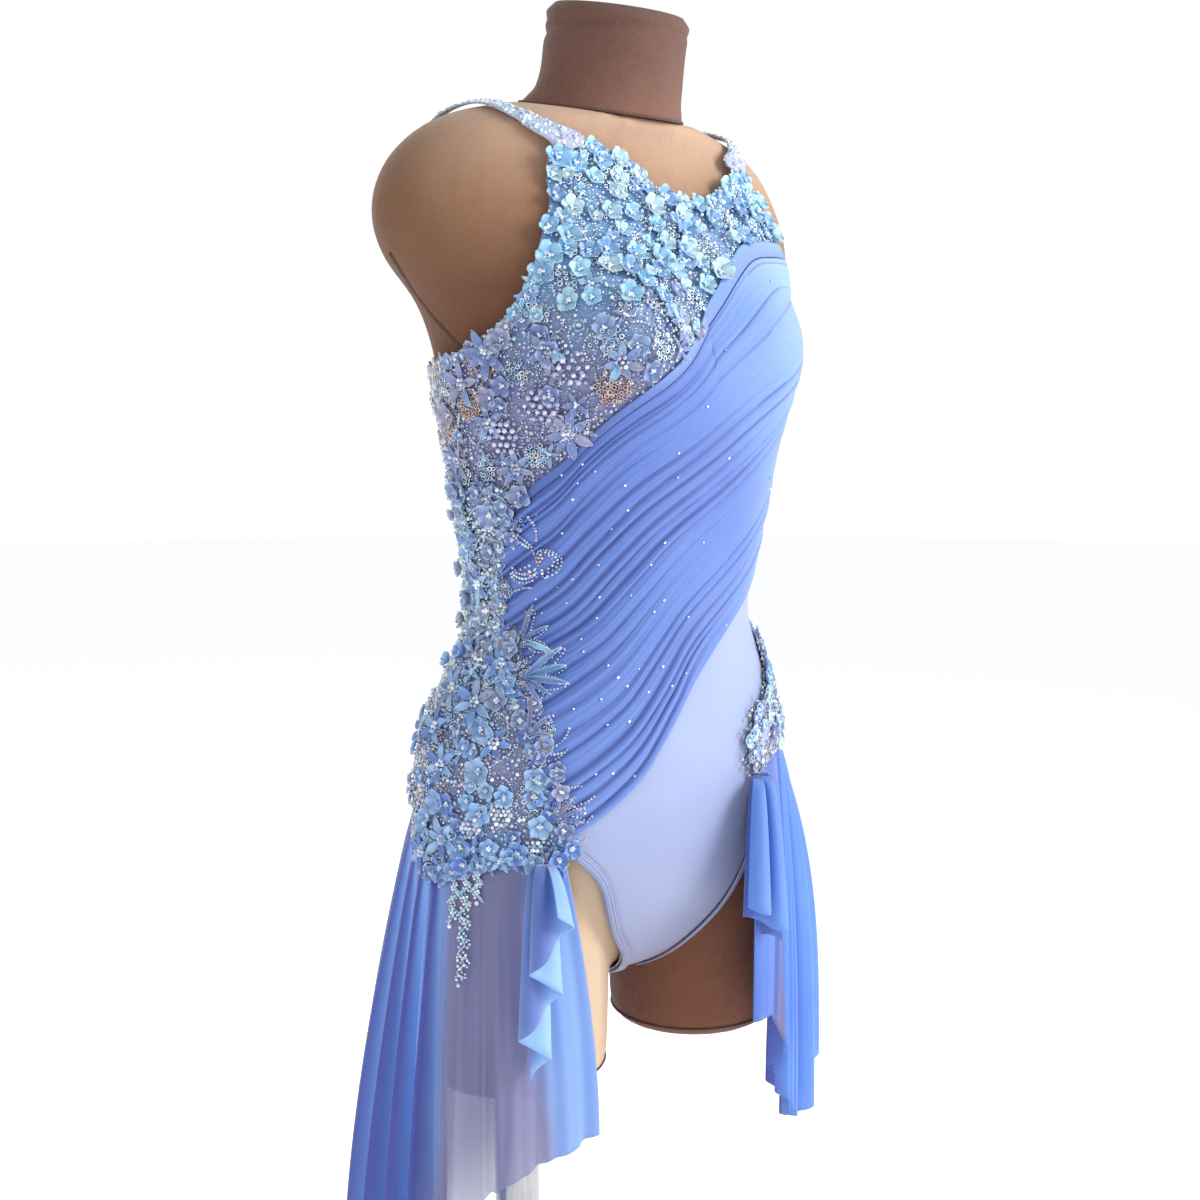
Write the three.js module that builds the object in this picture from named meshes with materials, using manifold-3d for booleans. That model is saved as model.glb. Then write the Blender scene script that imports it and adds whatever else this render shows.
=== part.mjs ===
// Lyrical dance dress on a limbless dress form, millimetres, +Z up.
// The wearer's front looks along -Y and the wearer's right hand side is -X.
// Angles run round the body from the front centre, negative towards the wearer's right.
// The origin is the middle of the stand's underside.

import * as THREE from 'three';
import Module from 'manifold-3d';
import { mergeVertices } from 'three/addons/utils/BufferGeometryUtils.js';

const { degToRad, lerp, smoothstep, clamp } = THREE.MathUtils;
const wasm = await Module();
wasm.setup();

// Cloth walls and how far each layer stands off the form
const SEAM_GAP = 0.3;
const LYCRA_WALL = 1.4;
const MESH_WALL = 1.2;
const LACE_WALL = 1.2;
const LEOTARD_LIFT = 2.0;
const SASH_LIFT = 5.0;
const LACE_LIFT = 4.5;
const STRAP_LIFT = 0.8;
const BINDING_LIFT = 3.8;
const BINDING_WALL = 1.2;
const BINDING_WIDTH = 7;
const BINDING_INSET = 0.6;

// Raised lace flowers, one on each cell of a loose lattice
const LACE_RISE = 2.8;
const FLOWER_CELL = 25;
const FLOWER_RADIUS = 14;

// Sash: folds across its width and the share of it that the stitched band takes
const SASH_FOLDS = 14;
const SASH_BAND = 0.05;
const BAND_SEAM = 0.0015;

// Share of each leotard half's lower edge that the crotch seam takes, and how its rows crowd to it
const CROTCH_SHARE = 0.12;
const ROW_BIAS = 1.35;

// Levels
const HIP_LEVEL = 925;
const CROTCH_LEVEL = 800;
const WAIST_SEAM = 1112;
const THIGH_END = 738;
const NECK_BASE = 1424;
const NECK_TOP = 1495;
const CROTCH_EDGE = CROTCH_LEVEL + 0.15;
const SIDE_SEAM_ANGLE = 90;
const SEAM_ANGLE = 0.09;

// One degree round the body, in millimetres, where edges are measured along themselves
const ARC = 2.2;

// Stand
const BASE_RADIUS = 222;
const BASE_HEIGHT = 8;
const BASE_EDGE = 3;
const POLE_RADIUS = 16;
const COLLAR_RADIUS = 30;
const COLLAR_HEIGHT = 26;
const COLLAR_BEVEL = 6;

// Sections of the torso, upwards from the hip line
const BODY = [
  { z: 925, halfWidth: 150, front: 93, back: 108, centre: 3 },
  { z: 975, halfWidth: 146, front: 95, back: 102, centre: 2 },
  { z: 1020, halfWidth: 129, front: 92, back: 86, centre: 1 },
  { z: 1065, halfWidth: 110, front: 88, back: 72, centre: 0 },
  { z: 1120, halfWidth: 113, front: 97, back: 74, centre: 0 },
  { z: 1170, halfWidth: 123, front: 105, back: 82, centre: 0 },
  { z: 1220, halfWidth: 134, front: 106, back: 91, centre: 0 },
  { z: 1262, halfWidth: 142, front: 99, back: 97, centre: 2 },
  { z: 1290, halfWidth: 153, front: 93, back: 98, centre: 6 },
  { z: 1318, halfWidth: 176, front: 86, back: 98, centre: 11 },
  { z: 1345, halfWidth: 184, front: 76, back: 94, centre: 15 },
  { z: 1372, halfWidth: 177, front: 65, back: 87, centre: 17 },
  { z: 1394, halfWidth: 159, front: 57, back: 79, centre: 15 },
  { z: 1411, halfWidth: 125, front: 53, back: 71, centre: 10 },
  { z: 1424, halfWidth: 71, front: 54, back: 66, centre: 2 },
];
// Levels near the neck tip down towards the front, as a neck seam does
const NECK_TIP = { slope: 0.2, from: 1385 };
const CUP = { rise: 29, spread: 46, apart: 70, z: 1264 };

// Sections of a thigh stub, downwards from inside the torso
const THIGH = [
  { z: 955, centre: 74, halfWidth: 54, halfDepth: 40 },
  { z: 925, centre: 79, halfWidth: 61, halfDepth: 51 },
  { z: 895, centre: 84, halfWidth: 65, halfDepth: 59.5 },
  { z: 860, centre: 87.5, halfWidth: 67.5, halfDepth: 65 },
  { z: 800, centre: 88, halfWidth: 68, halfDepth: 66 },
  { z: 750, centre: 88, halfWidth: 66.5, halfDepth: 64.5 },
  { z: THIGH_END, centre: 88, halfWidth: 60, halfDepth: 58 },
];

// Neck cap sections, upwards
const NECK = [
  { z: NECK_BASE + SEAM_GAP, radius: 58, centre: 9 },
  { z: 1430, radius: 55, centre: 5 },
  { z: 1437, radius: 52, centre: 1 },
  { z: 1450, radius: 50.5, centre: -3 },
  { z: 1470, radius: 50, centre: -6 },
  { z: 1488, radius: 49.5, centre: -9.5 },
  { z: NECK_TOP, radius: 45.5, centre: -11 },
];

// Edges as angle round the body and level
const NECK_AND_ARMHOLES = [
  [-89.91, 1250], [-78, 1256], [-64, 1271], [-49, 1297], [-40.5, 1314], [-34.5, 1333],
  [-30.5, 1352], [-29.5, 1384], [-22, 1392], [-15, 1388], [-8.5, 1383], [-4, 1367], [2, 1361],
  [8, 1358.5], [15, 1362], [21, 1371], [27, 1381], [32, 1386], [37.5, 1368], [41, 1338],
  [49.6, 1300], [62, 1276], [76, 1257], [89.91, 1250],
];
const FRONT_LEG = [
  [89.91, 936], [70, 931], [55, 924.5], [45, 918.5], [37.3, 913.7], [29.6, 901], [24.4, 882],
  [20.3, 869], [13.5, 853], [10, 839], [6.7, 820], [5.5, CROTCH_EDGE],
];
const BACK_LEG = [
  [89.91, 936], [70, 925], [55, 906], [40, 880], [28, 860], [17.5, 845], [10.5, 830], [7, 815],
  [5.5, CROTCH_EDGE],
];
const BACK_TOP = [
  [90.09, 1250], [108, 1245], [128, 1240], [140, 1240], [148, 1245], [157, 1240], [180, 1228],
];
const SASH_TOP = [
  [40, 1335], [29.4, 1333], [17.7, 1325], [5, 1291], [-8, 1261], [-26, 1232], [-39, 1206], [-48, 1186],
  [-58, 1171], [-66, 1158],
];
const SASH_LEFT = [
  [40, 1335], [46.2, 1310], [52, 1298], [63, 1277], [76, 1260], [88, 1251], [89, 1215], [89, 1175],
  [89, 1140],
];
const SASH_BOTTOM = [
  [89, 1140], [70, 1120], [48, 1100], [36, 1084], [16, 1058], [0, 1030], [-9, 1001], [-18, 968],
  [-26, 949], [-34, 935], [-41, 927],
];
const SASH_RIGHT = [
  [-66, 1158], [-73, 1130], [-78, 1094], [-76, 1060], [-64, 1027], [-54, 994], [-47, 961], [-41, 927],
];
const LACE_FRONT = [...SASH_RIGHT.map(([angle, level]) => [angle - 0.9, level]), [-40.5, 916]];
const LACE_BACK = [
  [-112, 1172], [-120, 1120], [-122, 1060], [-118, 1000], [-115, 960], [-112, 934],
];
const LACE_TOP = [[-66.9, 1158], [-80, 1168], [-96, 1166], [-112, 1172]];
const LACE_BOTTOM = [
  [-40.5, 916], [-55, 913], [-66, 908], [-78, 900], [-88, 896], [-98, 905], [-112, 934],
];
const HIP_LACE_TOP = [[52, 1036], [70, 1046], [96, 1040]];
const HIP_LACE_FRONT = [[52, 1036], [44, 1010], [28, 992], [22, 968], [27, 951]];
const HIP_LACE_BACK = [[96, 1040], [101, 1012], [100, 984]];
const HIP_LACE_BOTTOM = [[27, 951], [45, 960], [60, 971], [75, 979], [100, 984]];

// Shoulder straps, front to back: both edges, for the wearer's right
const STRAP = [
  { inner: [-21, 1389.5], outer: [-28.5, 1380.5] },
  { inner: [-22.5, 1398], outer: [-30.5, 1389] },
  { inner: [-30, 1405], outer: [-37, 1397] },
  { inner: [-44, 1411.5], outer: [-48.5, 1407.3] },
  { inner: [-66, 1416.3], outer: [-67.5, 1413.3] },
  { inner: [-90, 1418.6], outer: [-90, 1416] },
  { inner: [-112, 1417.3], outer: [-111, 1414.5] },
  { inner: [-128, 1409], outer: [-126, 1404.5] },
  { inner: [-143.5, 1386], outer: [-140.5, 1382.5] },
  { inner: [-149.7, 1345], outer: [-146, 1343] },
  { inner: [-152.3, 1305], outer: [-147.8, 1304] },
  { inner: [-152, 1270], outer: [-147.6, 1269] },
  { inner: [-151.5, 1238], outer: [-147, 1238] },
];

// Half skirts: where they leave the hip, their plan outline at the hem, and the hem's height
const RIGHT_SKIRT = {
  top: [
    [-40.5, 915.2], [-55, 912.2], [-66, 907], [-78, 899], [-88, 894.6], [-98, 902],
    [-112, 929], [-128, 938], [-146, 941], [-165, 943],
  ],
  hem: [
    { x: -76, y: -80, z: 712 }, { x: -118, y: -77, z: 704 }, { x: -152, y: -64, z: 690 },
    { x: -174, y: -22, z: 640 }, { x: -186, y: 34, z: 572 }, { x: -172, y: 88, z: 572 },
    { x: -134, y: 128, z: 610 }, { x: -86, y: 148, z: 650 }, { x: -40, y: 150, z: 700 },
  ],
  flare: 1.7,
  folds: 11,
  topDepth: 1.6,
  hemDepth: 11,
  calm: 0.2,
};
const LEFT_SKIRT = {
  top: [
    [27.6, 949.6], [45, 958.8], [60, 969.8], [75, 977.8], [100, 982.8], [120, 978], [138, 970],
    [150, 964],
  ],
  hem: [
    { x: 62, y: -94, z: 762 }, { x: 86, y: -92, z: 760 }, { x: 114, y: -76, z: 672 },
    { x: 150, y: -60, z: 655 }, { x: 184, y: -34, z: 690 }, { x: 197, y: 10, z: 728 },
    { x: 184, y: 66, z: 742 }, { x: 146, y: 108, z: 750 }, { x: 96, y: 134, z: 764 },
  ],
  flare: 3.2,
  folds: 9,
  topDepth: 1.4,
  hemDepth: 9,
  calm: 0.12,
};

// Folded cascades: the hung strip winds to and fro in plan and its hem steps down as it goes back
const RIGHT_CASCADE = {
  top: { x: -120, y: -78, z: 913 },
  foot: { x: -138, y: -112 },
  strand: 37,
  waves: 2.5,
  turn: 2.1,
  axis: 0,
  hemFront: 890,
  hemBack: 768,
};
const LEFT_CASCADE = {
  top: { x: 56, y: -97, z: 949 },
  foot: { x: 24, y: -124 },
  strand: 36,
  waves: 2,
  turn: 1.75,
  axis: 75,
  hemFront: 866,
  hemBack: 826,
};

// Body surface

function sectionSlope(rows, i, column) {
  const before = rows[Math.max(i - 1, 0)];
  const after = rows[Math.min(i + 1, rows.length - 1)];
  return (after[column] - before[column]) / (after.z - before.z);
}

function section(z, column) {
  let i = 0;
  while (i < BODY.length - 2 && BODY[i + 1].z <= z) i += 1;
  const low = BODY[i];
  const high = BODY[i + 1];
  const span = high.z - low.z;
  const t = (z - low.z) / span;
  const t2 = t * t;
  const t3 = t2 * t;
  return (2 * t3 - 3 * t2 + 1) * low[column] + (3 * t2 - 2 * t3) * high[column]
    + (t3 - 2 * t2 + t) * span * sectionSlope(BODY, i, column)
    + (t3 - t2) * span * sectionSlope(BODY, i + 1, column);
}

function torsoPoint(angle, z) {
  const theta = degToRad(angle);
  const forward = Math.cos(theta);
  const x = section(z, 'halfWidth') * Math.sin(theta);
  const depth = section(z, forward > 0 ? 'front' : 'back');
  const away = ((Math.abs(x) - CUP.apart) / CUP.spread) ** 2 + ((z - CUP.z) / CUP.spread) ** 2;
  const cup = CUP.rise * Math.exp(-away) * clamp(2.2 * forward, 0, 1);
  const y = section(z, 'centre') - depth * forward - cup;
  return new THREE.Vector3(x, y, z + NECK_TIP.slope * y * smoothstep(z, NECK_TIP.from, NECK_BASE));
}

// Below the hip line the torso closes as a half ellipsoid with its poles at the sides
function seatPoint(angle, level) {
  const hip = BODY[0];
  const theta = degToRad(angle);
  const forward = Math.cos(theta);
  const phi = (Math.PI / 2) * (HIP_LEVEL - level) / (HIP_LEVEL - CROTCH_LEVEL);
  const depth = forward > 0 ? hip.front : hip.back;
  return new THREE.Vector3(
    hip.halfWidth * Math.sin(theta),
    hip.centre - depth * forward * Math.cos(phi),
    HIP_LEVEL - (HIP_LEVEL - CROTCH_LEVEL) * Math.abs(forward) * Math.sin(phi),
  );
}

function bodyPoint(angle, level) {
  return level >= HIP_LEVEL ? torsoPoint(angle, level) : seatPoint(angle, level);
}

// The hip line carried straight down, for what hangs over the thighs
function hangPoint(angle, level) {
  if (level >= HIP_LEVEL) return torsoPoint(angle, level);
  const point = torsoPoint(angle, HIP_LEVEL);
  const drop = HIP_LEVEL - level;
  point.x *= 1 + 0.0008 * drop;
  point.z = level;
  return point;
}

function outward(place, angle, level) {
  const round = place(angle + 0.4, level).sub(place(angle - 0.4, level));
  const up = place(angle, level + 0.8).sub(place(angle, level - 0.8));
  return round.cross(up).normalize();
}

function lifted(place, angle, level, lift) {
  return place(angle, level).addScaledVector(outward(place, angle, level), lift);
}

// Edges and patches

function edge(rows) {
  return new THREE.SplineCurve(rows.map(([angle, level]) => new THREE.Vector2(angle * ARC, level)));
}

function along(curve, t) {
  const point = curve.getPointAt(clamp(t, 0, 1));
  return { angle: point.x / ARC, level: point.y };
}

function between(a, b, t) {
  return { angle: lerp(a.angle, b.angle, t), level: lerp(a.level, b.level, t) };
}

// Coons patch over four edges that meet at their ends
function patch(topRows, bottomRows, startRows, endRows) {
  const top = edge(topRows);
  const bottom = edge(bottomRows);
  const start = edge(startRows);
  const end = edge(endRows);
  return (s, t) => {
    const across = between(along(top, s), along(bottom, s), t);
    const down = between(along(start, t), along(end, t), s);
    const corners = between(
      between(along(top, 0), along(top, 1), s),
      between(along(bottom, 0), along(bottom, 1), s),
      t,
    );
    return {
      angle: across.angle + down.angle - corners.angle,
      level: across.level + down.level - corners.level,
    };
  };
}

// Geometry

function closedGeometry(positions, index) {
  let geometry = new THREE.BufferGeometry();
  geometry.setAttribute('position', new THREE.Float32BufferAttribute(positions, 3));
  geometry.setIndex(index);
  geometry = mergeVertices(geometry, 1e-3);
  const old = geometry.index.array;
  const kept = [];
  for (let i = 0; i < old.length; i += 3) {
    const [a, b, c] = [old[i], old[i + 1], old[i + 2]];
    if (a !== b && b !== c && c !== a) kept.push(a, b, c);
  }
  geometry.setIndex(signedVolume(geometry, kept) < 0 ? kept.reverse() : kept);
  return geometry;
}

function signedVolume(geometry, index) {
  const place = geometry.attributes.position;
  const corners = [0, 1, 2].map(() => new THREE.Vector3());
  let volume = 0;
  for (let i = 0; i < index.length; i += 3) {
    corners.forEach((corner, k) => corner.fromBufferAttribute(place, index[i + k]));
    volume += corners[0].dot(corners[1].clone().cross(corners[2])) / 6;
  }
  return volume;
}

// A wall of cloth: point(u, v, side) with side 0 on the inner and 1 on the outer face
function wall(columns, rows, point) {
  const points = [];
  const index = [];
  const id = (i, j, side) => (i * (rows + 1) + j) * 2 + side;
  const quad = (a, b, c, d) => {
    const straight = points[a].distanceTo(points[c]) <= points[b].distanceTo(points[d]);
    index.push(...(straight ? [a, b, c, a, c, d] : [a, b, d, b, c, d]));
  };
  for (let i = 0; i <= columns; i += 1) {
    for (let j = 0; j <= rows; j += 1) {
      points.push(point(i / columns, j / rows, 0), point(i / columns, j / rows, 1));
    }
  }
  for (let i = 0; i < columns; i += 1) {
    for (let j = 0; j < rows; j += 1) {
      quad(id(i, j, 1), id(i + 1, j, 1), id(i + 1, j + 1, 1), id(i, j + 1, 1));
      quad(id(i, j, 0), id(i, j + 1, 0), id(i + 1, j + 1, 0), id(i + 1, j, 0));
    }
  }
  for (let i = 0; i < columns; i += 1) {
    quad(id(i, 0, 0), id(i + 1, 0, 0), id(i + 1, 0, 1), id(i, 0, 1));
    quad(id(i, rows, 1), id(i + 1, rows, 1), id(i + 1, rows, 0), id(i, rows, 0));
  }
  for (let j = 0; j < rows; j += 1) {
    quad(id(0, j, 1), id(0, j + 1, 1), id(0, j + 1, 0), id(0, j, 0));
    quad(id(columns, j, 0), id(columns, j + 1, 0), id(columns, j + 1, 1), id(columns, j, 1));
  }
  return closedGeometry(points.flatMap((spot) => spot.toArray()), index);
}

// A wall that hangs free, half its thickness to each side of a surface
function hangingWall(columns, rows, surface, thickness) {
  const step = 1e-3;
  return wall(columns, rows, (u, v, side) => {
    const acrossU = surface(Math.min(u + step, 1), v).sub(surface(Math.max(u - step, 0), v));
    const acrossV = surface(u, Math.min(v + step, 1)).sub(surface(u, Math.max(v - step, 0)));
    const normal = acrossU.cross(acrossV).normalize();
    return surface(u, v).addScaledVector(normal, (side - 0.5) * thickness);
  });
}

// Closed rings of points joined in turn, with flat ends
function loft(rings, capStart, capEnd) {
  const count = rings[0].length;
  const positions = rings.flat().flatMap((point) => point.toArray());
  const index = [];
  for (let i = 0; i < rings.length - 1; i += 1) {
    for (let j = 0; j < count; j += 1) {
      const next = (j + 1) % count;
      const [a, b] = [i * count + j, i * count + next];
      index.push(a, b, b + count, a, b + count, a + count);
    }
  }
  const cap = (ring, first, turned) => {
    const middle = new THREE.Vector3();
    ring.forEach((point) => middle.addScaledVector(point, 1 / count));
    const centre = positions.length / 3;
    positions.push(...middle.toArray());
    for (let j = 0; j < count; j += 1) {
      const pair = [first + j, first + ((j + 1) % count)];
      index.push(centre, ...(turned ? pair.reverse() : pair));
    }
  };
  if (capStart) cap(rings[0], 0, true);
  if (capEnd) cap(rings[rings.length - 1], (rings.length - 1) * count, false);
  return closedGeometry(positions, index);
}

function solid(geometry) {
  return new wasm.Manifold(new wasm.Mesh({
    numProp: 3,
    vertProperties: new Float32Array(geometry.attributes.position.array),
    triVerts: new Uint32Array(geometry.index.array),
  }));
}

function fromSolid(manifold) {
  const mesh = manifold.getMesh();
  const geometry = new THREE.BufferGeometry();
  geometry.setAttribute('position', new THREE.BufferAttribute(mesh.vertProperties, 3));
  geometry.setIndex(new THREE.BufferAttribute(mesh.triVerts, 1));
  return geometry;
}

// Height of the five-petalled lace flowers over the lace ground

function scatter(i, j, salt) {
  const value = Math.sin(i * 127.1 + j * 311.7 + salt * 74.7) * 43758.5453;
  return value - Math.floor(value);
}

function laceRelief(angle, level) {
  const across = angle * ARC / FLOWER_CELL;
  const up = level / FLOWER_CELL;
  let height = 0;
  for (let i = Math.floor(across) - 1; i <= Math.floor(across) + 1; i += 1) {
    for (let j = Math.floor(up) - 1; j <= Math.floor(up) + 1; j += 1) {
      const dx = (across - i - 0.2 - 0.6 * scatter(i, j, 1)) * FLOWER_CELL;
      const dz = (up - j - 0.2 - 0.6 * scatter(i, j, 2)) * FLOWER_CELL;
      const reach = 1 - (dx * dx + dz * dz) / (FLOWER_RADIUS * FLOWER_RADIUS);
      const petals = 0.8 + 0.2 * Math.cos(5 * Math.atan2(dz, dx) + 6 * scatter(i, j, 3));
      height = Math.max(height, reach * petals);
    }
  }
  return LACE_RISE * height;
}

// Leotard

const neckAndArmholes = edge(NECK_AND_ARMHOLES);
const frontLeg = edge(FRONT_LEG);
const backLeg = edge(BACK_LEG);
const backTop = edge(BACK_TOP);
const FRONT_HALF = SIDE_SEAM_ANGLE - SEAM_ANGLE;

function sashTopLevel(angle) {
  const rows = SASH_TOP;
  if (angle > rows[0][0]) return rows[0][1];
  for (let i = 1; i < rows.length; i += 1) {
    if (angle > rows[i][0]) {
      return lerp(rows[i][1], rows[i - 1][1], (angle - rows[i][0]) / (rows[i - 1][0] - rows[i][0]));
    }
  }
  return 1172;
}

// Lace shows above the sash only, and dies out towards the panel's own edges
function bodiceLace(angle, level, v) {
  const clear = smoothstep(level - sashTopLevel(angle), 8, 18);
  const inside = smoothstep(v, 0, 0.04) * (1 - smoothstep(v, 0.92, 0.98));
  return clear * inside * laceRelief(angle, level);
}

function bodiceFront() {
  return wall(22, 17, (u, v, side) => {
    const low = { angle: lerp(-FRONT_HALF, FRONT_HALF, u), level: WAIST_SEAM + SEAM_GAP };
    const { angle, level } = between(low, along(neckAndArmholes, u), v);
    const lift = LEOTARD_LIFT + side * (LYCRA_WALL + bodiceLace(angle, level, v));
    return lifted(bodyPoint, angle, level, lift);
  });
}

// The lower edge of a leotard half: leg line, crotch and leg line, w from -1 to 1
function lowerEdge(legLine, w) {
  const far = Math.abs(w);
  const place = far > CROTCH_SHARE
    ? along(legLine, (1 - far) / (1 - CROTCH_SHARE))
    : { angle: along(legLine, 1).angle * far / CROTCH_SHARE, level: CROTCH_EDGE };
  return { angle: Math.sign(w) * place.angle, level: place.level };
}

function briefFront() {
  return wall(18, 12, (u, v, side) => {
    const w = 2 * u - 1;
    const high = { angle: w * FRONT_HALF, level: WAIST_SEAM };
    const { angle, level } = between(high, lowerEdge(frontLeg, w), 1 - (1 - v) ** ROW_BIAS);
    return lifted(bodyPoint, angle, level, LEOTARD_LIFT + side * LYCRA_WALL);
  });
}

function backPanel() {
  return wall(18, 16, (u, v, side) => {
    const w = 2 * u - 1;
    const high = along(backTop, 1 - Math.abs(w));
    const low = lowerEdge(backLeg, w);
    const top = { angle: w < 0 ? high.angle : 360 - high.angle, level: high.level };
    const foot = { angle: 180 + low.angle, level: low.level };
    const { angle, level } = between(top, foot, 1 - (1 - v) ** ROW_BIAS);
    return lifted(bodyPoint, angle, level, LEOTARD_LIFT + side * LYCRA_WALL);
  });
}

function strap(hand) {
  const curve = (side) => edge(STRAP.map((row) => row[side]));
  const inner = curve('inner');
  const outer = curve('outer');
  return wall(24, 1, (u, v, side) => {
    const { angle, level } = between(along(inner, u), along(outer, u), v);
    const rest = smoothstep(u, 0.03, 0.12) * (1 - smoothstep(u, 0.9, 0.96));
    const lift = lerp(LEOTARD_LIFT + LYCRA_WALL + STRAP_LIFT, STRAP_LIFT, rest);
    return lifted(bodyPoint, hand * angle, level, lift + side * LYCRA_WALL);
  });
}

// A narrow strip on the leg edge, its width laid in from the edge
function legBinding(hand) {
  const place = (u) => {
    const { angle, level } = along(frontLeg, lerp(0.46, 0.93, u));
    return { angle: hand * angle, level };
  };
  const at = (u) => {
    const { angle, level } = place(u);
    return bodyPoint(angle, level);
  };
  return wall(12, 1, (u, v, side) => {
    const { angle, level } = place(u);
    const normal = outward(bodyPoint, angle, level);
    const tangent = at(Math.min(u + 0.01, 1)).sub(at(Math.max(u - 0.01, 0))).normalize();
    const inwards = normal.clone().cross(tangent).multiplyScalar(-hand);
    return at(u).addScaledVector(inwards, BINDING_INSET + v * BINDING_WIDTH)
      .addScaledVector(normal, BINDING_LIFT + side * BINDING_WALL);
  });
}

// Gathered sash: folds run from the left side and converge at the right hip

const sashPlace = patch(SASH_TOP, SASH_BOTTOM, SASH_LEFT, SASH_RIGHT);

function sashFold(s, t) {
  const depth = lerp(0.7, 3.4, smoothstep(s, 0.1, 1));
  const wander = 0.35 * Math.sin(5 * s + 9 * t);
  const phase = 2 * Math.PI * (SASH_FOLDS * t + wander);
  return depth * (0.5 - 0.5 * Math.cos(phase)) * smoothstep(t, SASH_BAND, SASH_BAND + 0.03);
}

function sashWall(columns, rows, first, last) {
  return wall(columns, rows, (u, v, side) => {
    const t = lerp(first, last, v);
    const { angle, level } = sashPlace(u, t);
    return lifted(bodyPoint, angle, level, SASH_LIFT + sashFold(u, t) + side * MESH_WALL);
  });
}

// Lace lying on the panels

function laceWall(place, surface, columns, rows) {
  return wall(columns, rows, (u, v, side) => {
    const { angle, level } = place(u, v);
    const rim = smoothstep(Math.min(u, 1 - u, v, 1 - v), 0, 0.08);
    const lift = LACE_LIFT + side * (LACE_WALL + rim * laceRelief(angle, level));
    return lifted(surface, angle, level, lift);
  });
}

// Half skirts

function planCurve(rows) {
  return new THREE.CatmullRomCurve3(rows.map(({ x, y, z }) => new THREE.Vector3(x, y, z)));
}

function halfSkirt(skirt) {
  const top = edge(skirt.top);
  const hem = planCurve(skirt.hem);
  const start = (s) => {
    const { angle, level } = along(top, s);
    return lifted(hangPoint, angle, level, LACE_LIFT + MESH_WALL / 2);
  };
  return (s, t) => {
    const from = start(s);
    const to = hem.getPointAt(s);
    const spread = 1 - (1 - t) ** skirt.flare;
    const calm = smoothstep(s, skirt.calm / 2, skirt.calm * 1.5);
    const depth = lerp(skirt.topDepth, skirt.hemDepth, spread * Math.sqrt(t)) * lerp(0.25, 1, calm);
    const phase = 2 * Math.PI * skirt.folds * (s + 0.02 * Math.sin(14 * s));
    const heading = hem.getTangentAt(s);
    const sideways = new THREE.Vector3(heading.y, -heading.x, 0).normalize();
    return new THREE.Vector3(lerp(from.x, to.x, spread), lerp(from.y, to.y, spread), lerp(from.z, to.z, t))
      .addScaledVector(sideways, depth * Math.sin(phase) * smoothstep(t, 0, 0.12));
  };
}

// Cascades: a sine-generated meander in plan

const MEANDER_STEPS = 240;

function meander(cascade) {
  const points = [new THREE.Vector2(0, 0)];
  const length = 2 * cascade.strand * cascade.waves;
  for (let i = 0; i < MEANDER_STEPS; i += 1) {
    const heading = cascade.turn * Math.cos(2 * Math.PI * cascade.waves * (i + 0.5) / MEANDER_STEPS);
    const step = length / MEANDER_STEPS;
    const last = points[points.length - 1];
    const bearing = heading + degToRad(cascade.axis);
    points.push(new THREE.Vector2(last.x + step * Math.sin(bearing), last.y + step * Math.cos(bearing)));
  }
  return (s) => {
    const exact = clamp(s, 0, 1) * MEANDER_STEPS;
    const i = Math.min(Math.floor(exact), MEANDER_STEPS - 1);
    return points[i].clone().lerp(points[i + 1], exact - i);
  };
}

const CASCADE_NECK = 0.4;

function cascadeSurface(cascade) {
  const plan = meander(cascade);
  return (s, t) => {
    const hem = lerp(cascade.hemFront, cascade.hemBack, s);
    const out = Math.sqrt(t);
    const grow = lerp(CASCADE_NECK, 1, out);
    const spot = plan(s);
    return new THREE.Vector3(
      lerp(cascade.top.x, cascade.foot.x, out) + grow * spot.x,
      lerp(cascade.top.y, cascade.foot.y, out) + grow * spot.y,
      lerp(cascade.top.z, hem, t),
    );
  };
}

// Dress form

const FORM_SIDES = 44;
const FORM_EASE = 0.986;

function formRing(place, level) {
  return Array.from({ length: FORM_SIDES }, (_, i) => {
    const point = place(i * 360 / FORM_SIDES, level);
    point.x *= FORM_EASE;
    point.y *= FORM_EASE;
    if (point.z < HIP_LEVEL) point.z = lerp(HIP_LEVEL, point.z, FORM_EASE);
    return point;
  });
}

function formBody() {
  const torsoLevels = [
    1424, 1417, 1406, 1394, 1380, 1362, 1345, 1328, 1308, 1290, 1274, 1258, 1240, 1214, 1180, 1145,
    1110, 1075, 1040, 1005, 970, 945, 925,
  ];
  const seatLevels = [906, 886, 866, 845, 824, 800];
  const torso = loft([
    ...torsoLevels.map((level) => formRing(torsoPoint, level)),
    ...seatLevels.map((level) => formRing(seatPoint, level)),
  ], true, false);
  const thighSides = 22;
  const thigh = (hand) => loft(THIGH.map((row) => Array.from({ length: thighSides }, (_, i) => {
    const turn = 2 * Math.PI * i / thighSides;
    return new THREE.Vector3(
      hand * row.centre + row.halfWidth * Math.cos(turn),
      row.halfDepth * Math.sin(turn),
      row.z,
    );
  })), true, true);
  return fromSolid(solid(torso).add(solid(thigh(-1))).add(solid(thigh(1))));
}

function formNeck() {
  const sides = 24;
  return loft(NECK.map((row) => Array.from({ length: sides }, (_, i) => {
    const turn = 2 * Math.PI * i / sides;
    const y = row.centre + row.radius * Math.sin(turn);
    return new THREE.Vector3(
      row.radius * Math.cos(turn), y, row.z + NECK_TIP.slope * y / FORM_EASE,
    );
  })), true, true);
}

// Stand: the pole carries the form in the right thigh stub

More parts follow.
